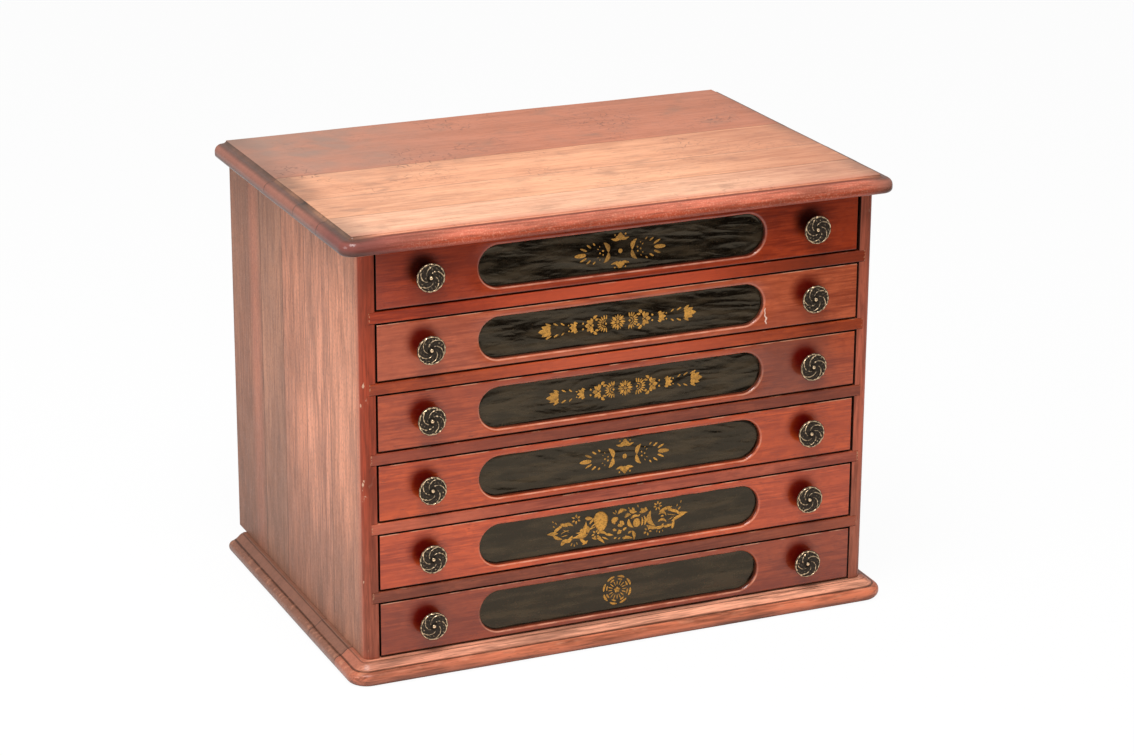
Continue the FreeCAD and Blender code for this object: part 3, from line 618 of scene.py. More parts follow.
# ---------------------------------------------------------------------------------------------
# Base slab. Thicker boards glued the same way, with a step, an ogee and a full round nose run
# along the front and both ends; dark red varnish, scuffed pale on the nose. The step and the
# ogee, which face up, are painted lighter as lit from above, and painted shade darkens the
# quirk, the step's edge and the foot.
# ---------------------------------------------------------------------------------------------
BASE_WIDTH, BASE_THICK, BASE_CORNER = 0.0170, 0.0225, 0.0060
BASE_STEP, BASE_OGEE_WIDTH, BASE_OGEE_HEIGHT, BASE_QUIRK = 0.0008, 0.0105, 0.0060, 0.0008
BASE_NOSE_HEIGHT, BASE_LIP, BASE_QUIRK_LIP = 0.0085, 0.0003, 0.0002
BASE_SEAMS = (-0.1570, -0.0766)
BASE_BOARD_STEP, BASE_SUNK, BASE_SWAY, BASE_HEAVE = 0.0003, 0.0003, 0.0002, 0.00012
BASE_FRONT_BAND, BASE_RAISED_ABOVE = 0.03, 0.004


def ogee(outward, drop, count):
    """Section of an ogee: half a cosine wave that falls by drop over the distance outward."""
    way = np.linspace(0, 1, count)
    return np.stack([way * outward, (np.cos(np.pi * way) - 1) / 2 * drop], -1)


def nose_curve(reach, rise, fall, count):
    """Bulging edge: quarter ellipses above and below the widest point at (reach, 0)."""
    angle = np.linspace(np.pi / 2, -np.pi / 2, count)
    tall = np.where(angle > 0, rise, fall)
    return np.stack([reach * np.cos(angle), tall * np.sin(angle)], -1)


ogee_foot = BASE_THICK - BASE_STEP - BASE_OGEE_HEIGHT
nose_top = ogee_foot - BASE_QUIRK
base_section = np.concatenate([
    [[0.0, BASE_THICK], [BASE_LIP, BASE_THICK - BASE_STEP]],
    ogee(BASE_OGEE_WIDTH - BASE_LIP, BASE_OGEE_HEIGHT, 14) + [BASE_LIP, BASE_THICK - BASE_STEP],
    [[BASE_OGEE_WIDTH, nose_top + BASE_QUIRK_LIP]],
    nose_curve(BASE_WIDTH - BASE_OGEE_WIDTH, nose_top - BASE_NOSE_HEIGHT, BASE_NOSE_HEIGHT, 21)
    + [BASE_OGEE_WIDTH, BASE_NOSE_HEIGHT],
    [[0.0, 0.0]]])
low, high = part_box("base")
vertices, faces = moulded_slab(low, high, BASE_WIDTH, BASE_CORNER, base_section)
vertices[:, 0] *= shrink
vertices[:, 0] += drift(vertices, 0.10, 11) * BASE_SWAY
vertices[:, 1] += np.where(vertices[:, 1] < low.y + BASE_FRONT_BAND,
                           SLAB_INSET + drift(vertices, 0.12, 12) * BASE_SWAY, 0)
base_rise = seam_step(vertices, BASE_SEAMS, BASE_BOARD_STEP) - BASE_SUNK
base_rise += drift(vertices, 0.15, 13) * BASE_HEAVE
vertices[:, 2] += base_rise * (vertices[:, 2] > low.z + BASE_RAISED_ABOVE)
base_boards = slab_piece("base_boards", vertices, faces, "base")

base_finish, place = new_finish("base_varnish")
across, depth, height = (axis(place, number) for number in range(3))
end_grain = smooth(abs(across), 0.284, 0.292) * smooth(depth, low.y + 0.010, low.y + 0.022)
# Painted light: the step and the ogee, which face up, are much lighter than the nose.
lit_upper_base = smooth(height, nose_top - 0.0010, nose_top + 0.0020)
left_end = 1 - smooth(across, -0.30, -0.06)
base_pale = layered(
    mix(lit_upper_base, tone(0.64, 0.180, 0.088), tone(0.98, 0.420, 0.260)),
    (left_end * 0.55, tone(0.42, 0.135, 0.080)), (end_grain, tone(0.40, 0.135, 0.080)),
    (smooth(depth, -0.1574, -0.1566) * 0.75, tone(0.20, 0.100, 0.066)))
base_dark = mix(0.7 - end_grain * 0.45, base_pale, tone(0.05, 0.018, 0.010))
board = board_count(depth, BASE_SEAMS)
base_colour, base_relief = wood(place, ALONG_FRONT, base_pale, base_dark, board * 0.41)
# Painted shade in the quirk at the foot of the ogee and along the edge of the step.
grooves = [((1 - smooth(abs(height - level), half_width * 0.3, half_width)) * share,
            tone(0.045, 0.018, 0.010))
           for level, share, half_width in ((ogee_foot - 0.0004, 0.8, 0.0008),
                                            (BASE_THICK - 0.0009, 0.6, 0.0005))]
nose_band = 1 - smooth(abs(height - (nose_top - 0.0012)), 0.0008, 0.0030)
scuffs = nose_band * smooth(noise(stretched(place, ALONG_FRONT, 0.35), 160, 4), 0.50, 0.68)
# Painted shade along the foot of the base, on the rounded underside and where it meets the floor.
foot_shade = 1 - smooth(height, 0.0010, 0.0085)
joints = seam_lines(depth, BASE_SEAMS, 0.0009)
base_colour = layered(
    base_colour, *grooves, (scuffs * 0.3, tone(0.66, 0.30, 0.18)),
    (foot_shade * 0.62, tone(0.060, 0.024, 0.014)), (joints * 0.85, tone(0.05, 0.02, 0.012)))
varnish(base_finish, base_colour, base_relief - joints * 3, noise(place, 60, 3) * 0.25 + 0.30,
        coat=0.35, coat_roughness=0.24)
base_boards.data.materials.append(base_finish)

# ---------------------------------------------------------------------------------------------
# Back boards, runners and dowels. Bare softwood from the saw, brown with age; the back stands
# between the sides, and the runners and dowels are only seen with the drawers out.
# ---------------------------------------------------------------------------------------------


def bare_wood(name, along, pale, dark, seams=()):
    """Unvarnished wood, dulled by dust in slow clouds; every second board is a little darker."""
    made, spot = new_finish(name)
    across = axis(spot, 0)
    shift = board_count(across, seams) * 0.37 if seams else None
    colour, relief = wood(spot, along, tone(*pale), tone(*dark), shift, pore_depth=0.35)
    dust = smooth(noise(spot, 9, 4), 0.40, 0.65) * 0.4
    if seams:
        darker = board_count(across, seams[:1]) - board_count(across, seams[1:2])
        dust = dust + (darker + board_count(across, seams[2:])) * 0.3
    colour = mix(dust, colour, tone(*(channel * 0.6 for channel in pale)))
    if seams:
        colour = mix(seam_lines(across, seams, 0.0014) * 0.9, colour, tone(0.016, 0.009, 0.006))
    varnish(made, colour, relief, noise(spot, 40, 2) * 0.2 + 0.55, 0.0002, coat=0.0)
    return made


STRIP_TONES = (0.45, 0.245, 0.118), (0.31, 0.160, 0.074)
low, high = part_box("back_boards")
back_seams = [low.x + (high.x - low.x) * share for share in (0.25, 0.50, 0.75)]
give("back_boards", bare_wood("back_bare_wood", UPRIGHT, (0.24, 0.132, 0.074),
                              (0.135, 0.072, 0.041), back_seams))
strip_wood = bare_wood("strip_bare_wood", ALONG_DEPTH, *STRIP_TONES)
give("runners", strip_wood)
give("case_dowels", bare_wood("dowel_bare_wood", UPRIGHT, (0.46, 0.30, 0.17), (0.32, 0.19, 0.10)))

# ---------------------------------------------------------------------------------------------
# Drawer boxes. Thin plain boards: two sides, a back and a bottom slid into grooves, all of
# them bare wood that is only seen with a drawer out.
# ---------------------------------------------------------------------------------------------
drawer_back_wood = bare_wood("drawer_back_bare_wood", ALONG_FRONT, (0.43, 0.235, 0.115),
                             (0.29, 0.150, 0.070))
drawer_bottom_wood = bare_wood("drawer_bottom_bare_wood", ALONG_FRONT, (0.52, 0.310, 0.165),
                               (0.38, 0.215, 0.108))
box_wood = {"left_side": strip_wood, "right_side": strip_wood, "back": drawer_back_wood,
            "bottom": drawer_bottom_wood}
DRAWERS = range(1, 7)
for number in DRAWERS:
    for part, made in box_wood.items():
        give(f"drawer_{number}_{part}", made)

# ---------------------------------------------------------------------------------------------
# Drawer fronts. Each is one thick board stained red under glossy varnish, with a long sunk
# cartouche whose hand-worked rim is rounded over and rubbed bare along its lower lip, which
# also carries a painted highlight. Painted shade darkens the gaps round each front, and a
# painted shadow lies beside each knob.
# ---------------------------------------------------------------------------------------------
# Drawer 1's tone is darker, partly as painted shade under the top's overhang.
FRONT_TONES = {1: (0.38, 0.044, 0.008), 2: (0.54, 0.112, 0.040), 3: (0.48, 0.078, 0.018),
               4: (0.58, 0.080, 0.010), 5: (0.64, 0.094, 0.020), 6: (0.36, 0.058, 0.014)}
DULL_RIGHT = {1: 0.0, 2: 0.0, 3: 1.0, 4: 0.0, 5: 0.1, 6: 0.0}
RIGHT_GAP = {1: 0.0020, 2: 0.0004, 3: 0.0006, 4: 0.0012, 5: 0.0004, 6: 0.0}
LOWER_GAP, UPPER_REACH, CARTOUCHE_PLAY = 0.0007, 0.0003, 0.00015
RIM_RADIUS, RIM_DEPTH, FRONT_THICK, FRONT_ARRIS = 0.0032, 0.0046, 0.0190, 0.0007
RIM_COUNT, RIM_WAVE, RIM_WANDER, WALL_FOOT, REBATE_PLAY = 320, 0.035, 0.00022, 0.0015, 0.0003
# SHADOW_LEFT, SHADOW_UP and KNOB_SHADOW_RED place and tint a painted shadow up and to the left of each
# knob.
KNOB_X, SHADOW_LEFT, SHADOW_UP, GREYED_X = 0.218, 0.0065, 0.0085, 0.190
KNOB_SHADOW_RED = {1: 0.028, 2: 0.105, 3: 0.105, 4: 0.105, 5: 0.105, 6: 0.105}
DRIP_DRAWER, DRIP_X, DRIP_DROP = 2, 0.1630, 0.0150


def stadium(half_length, half_height, count):
    """Closed slot outline: points at even steps along it from the right end, and outward ways.

    Half of a straight run is half_length minus half_height; the ends are half circles.
    """
    straight = half_length - half_height
    around = 4 * straight + 2 * np.pi * half_height
    step = np.arange(count) / count * around
    quarter = np.pi * half_height / 2
    spans = np.cumsum([0, quarter, 2 * straight, 2 * quarter, 2 * straight, quarter])
    piece = np.clip(np.searchsorted(spans, step, side="right") - 1, 0, 4)
    local = step - spans[piece]
    angle = np.select([piece == 0, piece == 2, piece == 4],
                      [local / half_height, np.pi / 2 + local / half_height,
                       1.5 * np.pi + local / half_height], 0.0)
    x = np.select([piece == 1, piece == 3], [straight - local, local - straight],
                  np.where(piece == 2, -straight, straight) + half_height * np.cos(angle))
    z = np.select([piece == 1, piece == 3], [half_height, -half_height], half_height * np.sin(angle))
    outward_x = np.where((piece == 1) | (piece == 3), 0.0, np.cos(angle))
    outward_z = np.select([piece == 1, piece == 3], [1.0, -1.0], np.sin(angle))
    return np.stack([x, z], -1), np.stack([outward_x, outward_z], -1)


def onto_rectangle(points, half_width, half_height):
    """Each point pushed out from the middle until it meets a rectangle.

    First x is stretched to the rectangle's width. At the end the point nearest each corner is
    moved onto it, so that the outline keeps its corners.
    """
    scale_x = half_width / np.abs(points[:, 0]).max()
    spread = np.stack([points[:, 0] * scale_x, points[:, 1]], -1)
    grow = np.minimum(half_width / np.maximum(np.abs(spread[:, 0]), 1e-9),
                      half_height / np.maximum(np.abs(spread[:, 1]), 1e-9))
    reached = spread * grow[:, None]
    for sign_x in (-1, 1):
        for sign_z in (-1, 1):
            corner = np.array([sign_x * half_width, sign_z * half_height])
            reached[np.argmin(np.linalg.norm(reached - corner, axis=1))] = corner
    return reached


def capped_faces(rows, columns, first=0):
    """Quads of a closed ring of points carried along rows, with one face over each end."""
    last = first + (rows - 1) * columns
    return (grid_faces(rows, columns, first, closed=True)
            + [list(range(last, last + columns)), list(range(first, first + columns))[::-1]])


def drawer_front(number, low, high, cheeks, shoulder, half_length, half_height, middle_z):
    """Front board as one ring of points carried outwards and back.

    Rings start at the foot of the cartouche's wall, climb the wall, roll over the rim as a
    quarter circle, cross the face to the rectangle, roll over the small arris, run back to the
    shoulder, step in to the cheeks of the rebates for the drawer's sides, run on to the rear
    face and close there with a flat cap. The rim wanders by a fraction of a millimetre.
    """
    inner, outward = stadium(half_length, half_height, RIM_COUNT)
    wander = drift(inner, RIM_WAVE, 20 + number)[:, None] * RIM_WANDER
    rings = [inner, inner + outward * wander * 0.5]
    depths = [RIM_DEPTH + WALL_FOOT, RIM_RADIUS]
    for angle in np.radians(np.linspace(0, 90, 8))[1:]:
        rings.append(inner + outward * (RIM_RADIUS * (1 - np.cos(angle)) + wander))
        depths.append(RIM_RADIUS * (1 - np.sin(angle)))
    rim = rings[-1]
    shift = np.array([(low.x + high.x) / 2, (low.z + high.z) / 2 - middle_z])
    half_width, half_tall = (high.x - low.x) / 2, (high.z - low.z) / 2
    outer = shift + onto_rectangle(inner, half_width, half_tall)
    small = shift + onto_rectangle(inner, half_width - FRONT_ARRIS, half_tall - FRONT_ARRIS)
    for share in (0.15, 0.4, 0.7, 1.0):
        rings.append(rim + (small - rim) * share)
        depths.append(0.0)
    for angle in np.radians(np.linspace(0, 90, 5))[1:]:
        rings.append(small + (outer - small) * np.sin(angle))
        depths.append(FRONT_ARRIS * (1 - np.cos(angle)))
    rebated = np.array([sum(cheeks) / 2, shift[1]]) + onto_rectangle(
        inner, (cheeks[1] - cheeks[0]) / 2 - REBATE_PLAY, half_tall - REBATE_PLAY)
    rings += [outer, rebated, rebated]
    depths += [shoulder - REBATE_PLAY, shoulder - REBATE_PLAY, FRONT_THICK]
    shape = np.stack(rings)
    y = low.y + np.broadcast_to(np.array(depths)[:, None], shape.shape[:2])
    vertices = np.stack([shape[..., 0], y, middle_z + shape[..., 1]], -1).reshape(-1, 3)
    return vertices, capped_faces(len(rings), RIM_COUNT)


for number in DRAWERS:
    node = f"drawer_{number}_front"
    low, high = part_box(node)
    middle_z = (low.z + high.z) / 2
    panel_low, panel_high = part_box(f"drawer_{number}_panel")
    half_length = (panel_high.x - panel_low.x) / 2 + CARTOUCHE_PLAY
    half_height = (panel_high.z - panel_low.z) / 2 + CARTOUCHE_PLAY
    outer_low = Vector((low.x, low.y, low.z + LOWER_GAP))
    outer_high = Vector((high.x - RIGHT_GAP[number], high.y, high.z + UPPER_REACH))
    left_side, right_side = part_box(f"drawer_{number}_left_side"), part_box(f"drawer_{number}_right_side")
    vertices, faces = drawer_front(number, outer_low, outer_high, (left_side[1].x, right_side[0].x),
                                   left_side[0].y - low.y, half_length, half_height, middle_z)
    front = link_mesh(f"drawer_{number}_face_board", vertices, faces, sharp=34)
    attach(front, f"drawer_{number}")
    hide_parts(node)

    made, moved, spot, colour, relief = red_wood(f"drawer_{number}_stain", FRONT_TONES[number],
                                                 0.43 * number, patches=0.55)
    across, depth, height = (axis(spot, way) for way in range(3))
    up, inward = height - middle_z, depth - low.y
    past_end = larger(abs(across) - (half_length - half_height), 0.0)
    reach = distance(past_end, up) - half_height
    on_lip = smooth(reach, 0.0006, 0.0012) * (1 - smooth(reach, 0.0016, 0.0028))
    # The lower lip is rubbed pale, and the paler colour there is also a painted highlight where the lip
    # faces up to the light.
    lit_lower_lip = on_lip * (1 - smooth(up, -0.020, 0.006) * 0.75)
    rubbed = lit_lower_lip * (smooth(noise(moved, 60, 3), 0.36, 0.66) * 0.5 + 0.28)
    # Darker on the cartouche's wall and floor, inside the rim.
    dark_cartouche_wall = (1 - smooth(reach, 0.0, 0.0009)) * 0.8
    half_front = (high.z - low.z) / 2
    crack = smooth(up, half_front - 0.0002, half_front + 0.0001)
    for gap in (1 - smooth(up, LOWER_GAP + 0.0004 - half_front, LOWER_GAP + 0.0010 - half_front),
                smooth(across, outer_high.x - 0.0005, outer_high.x - 0.0002),
                1 - smooth(across, low.x + 0.0002, low.x + 0.0005)):
        crack = larger(crack, gap)
    # Painted shade in the gaps round the front: black on its edge faces for the first few millimetres.
    gap_shade = crack * (1 - smooth(inward, 0.0032, 0.0065))
    colour = layered(
        colour, (rubbed, tone(0.74, 0.34, 0.22)), (dark_cartouche_wall, tone(0.030, 0.012, 0.008)),
        (crack, tone(0.25, 0.070, 0.028)), (gap_shade, tone(0.010, 0.004, 0.003)))
    greying = (1 - smooth(abs(across - GREYED_X), 0.015, 0.075)) * DULL_RIGHT[number]
    greyed = mix(0.5, colour, tone(0.09, 0.030, 0.018))
    # Painted shadow of each knob: a dark red patch up and to the left of it, where the varnish coat is
    # left off.
    from_knob = distance(abs(across + SHADOW_LEFT) - KNOB_X, up - SHADOW_UP)
    knob_shadow = (1 - smooth(from_knob, 0.0070, 0.0230)) * (noise(spot, 130, 3) * 0.3 + 0.84)
    # Paler along the upper arris: partly wear, partly a painted highlight where the arris catches the
    # light from above.
    edge = smooth(up, half_front - 0.0012, half_front - 0.0004)
    worn_lit_edge = smooth(noise(stretched(moved, ALONG_FRONT, 0.3), 130, 3), 0.42, 0.60)
    worn_lit_edge = edge * worn_lit_edge * (1 - crack)
    colour = layered(
        colour, (greying, greyed), (knob_shadow * 0.98, tone(KNOB_SHADOW_RED[number], 0.0025, 0.0012)),
        (worn_lit_edge * 0.75, tone(0.66, 0.32, 0.19)))
    if number == DRIP_DRAWER:
        wander = (noise(spot, 110, 1) - 0.5) * 0.010
        drip = ((1 - smooth(abs(across - DRIP_X - wander), 0.0003, 0.0009))
                * (1 - smooth(abs(up + DRIP_DROP), 0.0080, 0.0095)))
        colour = mix(drip * 0.85, colour, tone(0.86, 0.62, 0.50))
    bare = wood(moved, ALONG_FRONT, *(tone(*shade) for shade in STRIP_TONES))[0]
    colour = mix(smooth(inward, 0.0160, 0.0182), colour, bare)
    # The varnish coat is left off under the painted knob shadows and the painted gap shade.
    varnish(made, colour, relief, noise(moved, 50, 3) * 0.18 + 0.26,
            coat=(1 - knob_shadow) * (1 - gap_shade) * 0.85, coat_roughness=0.16)
    front.data.materials.append(made)

# ---------------------------------------------------------------------------------------------
# Japanned sheets. Thin metal painted with glossy black japan, laid in the floor of each
# cartouche; the paint has crept into soft wrinkles that run along the sheet.
# ---------------------------------------------------------------------------------------------
SWELL, RIDGE, SMALL_RIDGE, CREST_BEND = 0.00046, 0.00021, 0.00007, 0.002
SHEET_RINGS, SHEET_COUNT, SHEET_SUNK, SHEET_EDGE_SUNK = 26, 520, 0.0006, 0.0007
FLAT_EDGE = 1 / 8


def paint_height(x, z, number):
    """Height of the japan over the middle of its sheet: a slow swell under ridged wrinkles.

    Both are long along x. The wrinkles are folded drifts, 0.5 minus 1.3 times the drift's size,
    so that their crests are sharp; points are first moved about a little to bend the crests.
    """
    plan = np.stack([x * 0.25 + z * 0.25, z], -1)
    bent = plan + np.stack([drift(plan, 0.03, 50 + number),
                            drift(plan, 0.024, 60 + number)], -1) * CREST_BEND
    ridge = 0.5 - np.abs(drift(bent, 0.014, 70 + number)) * 1.3
    small = 0.5 - np.abs(drift(bent, 0.006, 80 + number)) * 1.3
    return drift(plan, 0.034, 90 + number) * SWELL + ridge * RIDGE + small * SMALL_RIDGE


japan, place = new_finish("black_japan")
flecks = smooth(noise(place, 420, 2), 0.62, 0.72)
streaks = smooth(noise(stretched(place, ALONG_FRONT, 0.22), 95, 5), 0.40, 0.66)
worn_black = mix(streaks, tone(0.0040, 0.0022, 0.0010), tone(0.034, 0.022, 0.011))
ripple = noise(stretched(place, ALONG_FRONT, 0.4), 330, 3)
wire(japan, {"Base Color": mix(flecks * 0.3, worn_black, tone(0.09, 0.060, 0.03)),
             "Roughness": noise(place, 90, 3) * 0.16 + streaks * 0.12 + 0.10,
             "Specular IOR Level": 0.52, "Specular Tint": tone(1.0, 0.82, 0.58),
             "Normal": bumped(ripple, 0.00014)})

for number in DRAWERS:
    node = f"drawer_{number}_panel"
    low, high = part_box(node)
    half_length, half_height = (high.x - low.x) / 2, (high.z - low.z) / 2
    outline = stadium(half_length, half_height, SHEET_COUNT)[0]
    spine = np.stack([np.clip(outline[:, 0], half_height - half_length, half_length - half_height),
                      np.zeros(SHEET_COUNT)], -1)
    share = np.linspace(0, 1, SHEET_RINGS)[:, None, None]
    plan = spine + (outline - spine) * share
    fade = np.minimum((1 - share[..., 0]) / FLAT_EDGE, 1.0)
    y = low.y + SHEET_SUNK - paint_height(plan[..., 0], plan[..., 1], number) * fade
    y[-1] = low.y + SHEET_EDGE_SUNK
    y = np.concatenate([y, np.full((1, SHEET_COUNT), high.y)])
    plan = np.concatenate([plan, outline[None]])
    vertices = np.stack([plan[..., 0], y, plan[..., 1] + (low.z + high.z) / 2], -1).reshape(-1, 3)
    faces = grid_faces(SHEET_RINGS + 1, SHEET_COUNT, closed=True)
    faces.append(list(range(SHEET_RINGS * SHEET_COUNT, (SHEET_RINGS + 1) * SHEET_COUNT)))
    sheet = link_mesh(f"drawer_{number}_japanned_sheet", vertices, faces, sharp=60)
    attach(sheet, f"drawer_{number}")
    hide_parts(node)
    sheet.data.materials.append(japan)

# ---------------------------------------------------------------------------------------------
# Gilt stencils. Bronze powder was dusted through cut stencils onto the tacky japan: fans and
# crowns on drawers 1 and 4, a garland on 2 and 3, leaves, fruit and flowers on 5 and a round
# flower on 6. Each mark is a thin film with a soft edge, uneven where the powder was thin.
# ---------------------------------------------------------------------------------------------
ROUND, LEAF, SPIKE = 0.5, 0.85, 1.3
FILM_LIFT, FILM_THICK, HAND_SHAKE = 0.00006, 0.00005, 0.12
MARK_STEPS, MARK_SIDES = 13, 8


def dot(x, z, radius):
    """Round mark about (x, z)."""
    return (x - radius, z, x + radius, z, 2 * radius, ROUND, 0)


def mirrored(marks, *axes):
    """The marks with their mirror images across x = 0 (axis 0), z = 0 (axis 1) or both in turn."""
    marks = np.array(marks, float)
    for number in axes:
        image = marks.copy()
        image[:, [number, number + 2, 6]] *= -1
        marks = np.concatenate([marks, image])
    return marks


def wheel(x, z, count, inner, outer, width, start=90.0, kind=LEAF, sweep=360.0):
    """Marks that point outward from (x, z), evenly turned over the sweep, from inner to outer."""
    turn = np.radians(start + np.arange(count) * sweep / count)
    way = np.stack([np.cos(turn), np.sin(turn)], -1)
    ends = np.concatenate([[x, z] + way * inner, [x, z] + way * outer], -1)
    return np.concatenate([ends, np.tile([width, kind, 0.0], (count, 1))], -1)


def curved(radius, way, spread, width, bow):
    """Mark bent along a circle about the middle, spread to both sides of an angle."""
    ends = [radius * turn(way + side) for side in (-spread, spread) for turn in (math.cos, math.sin)]
    return (*ends, width, ROUND, bow)


# A mark is its root x and z, its tip x and z, its width, its kind and its bow, in millimetres
# about the middle of the ornament; the bow is the sideways bend as a share of the length.
crowns_and_fans = np.concatenate([
    mirrored([(0, 12.6, -10.4, 13.7, 3.2, LEAF, 0.06), dot(-5.9, 17.6, 1.05),
              (-13.4, -0.2, -18.9, 11.0, 4.9, LEAF, -0.16), dot(-19.4, 2.1, 0.95),
              (-38.0, 3.6, -45.6, 7.3, 2.3, ROUND, 0), (-33.0, 6.6, -38.0, 10.3, 2.1, ROUND, 0),
              (-28.4, 8.8, -30.8, 11.4, 1.8, ROUND, 0), (-24.6, 3.8, -26.2, 4.9, 0.9, ROUND, 0),
              (-22.8, 6.3, -23.7, 7.8, 0.9, ROUND, 0)], 0, 1),
    mirrored([(0, 11.0, 0, 19.8, 7.4, LEAF, 0), (-1.5, 12.4, -4.6, 15.6, 4.2, ROUND, 0),
              (1.5, 12.4, 4.6, 15.6, 4.2, ROUND, 0)], 1),
    mirrored([(-38.3, -0.2, -52.0, -0.5, 4.9, ROUND, 0), dot(-23.0, 0, 0.95)], 0),
    [dot(0, 0, 2.6)]])

garland = np.concatenate([
    mirrored([(-47.0, 0.8, -53.6, 4.6, 2.9, LEAF, 0), (-46.8, 1.2, -49.8, 5.4, 2.6, LEAF, 0),
              (-49.4, 6.0, -45.4, 4.0, 1.6, ROUND, 0), dot(-55.4, 3.1, 0.8),
              dot(-39.2, 3.0, 1.1), (-64.2, 6.6, -60.4, 3.6, 1.5, ROUND, 0),
              (-72.6, 7.3, -67.2, 4.4, 1.7, ROUND, 0), (-81.6, 8.4, -75.2, 5.2, 2.0, ROUND, 0),
              (-76.0, 0.8, -86.2, 5.3, 5.0, LEAF, 0), (-75.8, 1.6, -80.8, 6.2, 3.6, LEAF, 0),
              (-30.6, 2.6, -35.2, 5.8, 3.9, LEAF, 0), (-28.6, 3.4, -30.4, 8.0, 3.8, LEAF, 0),
              (-27.4, 6.6, -23.2, 10.2, 3.4, LEAF, 0.1), (-25.6, 5.4, -21.4, 6.4, 2.6, LEAF, 0),
              (-31.6, 1.0, -28.2, 3.6, 2.0, ROUND, 0)], 0, 1),
    mirrored([(-46.8, 0, -55.0, 0, 4.4, LEAF, 0), (-75.8, 0, -90.0, 0, 6.6, LEAF, 0),
              (-31.6, 0, -37.4, 0, 4.4, LEAF, 0), dot(-28.6, 0, 1.2), dot(-13.4, 0, 1.2)], 0),
    mirrored(wheel(-14.0, 0, 11, 4.4, 9.4, 1.7, start=82, kind=ROUND, sweep=216), 0),
    mirrored(wheel(-14.0, 0, 7, 2.4, 3.8, 1.1, start=95, kind=ROUND, sweep=198), 0),
    wheel(0, 0, 8, 2.4, 8.6, 2.9), wheel(0, 0, 8, 4.6, 8.4, 0.9, start=112.5, kind=ROUND),
    [dot(0, 0, 1.9)]])

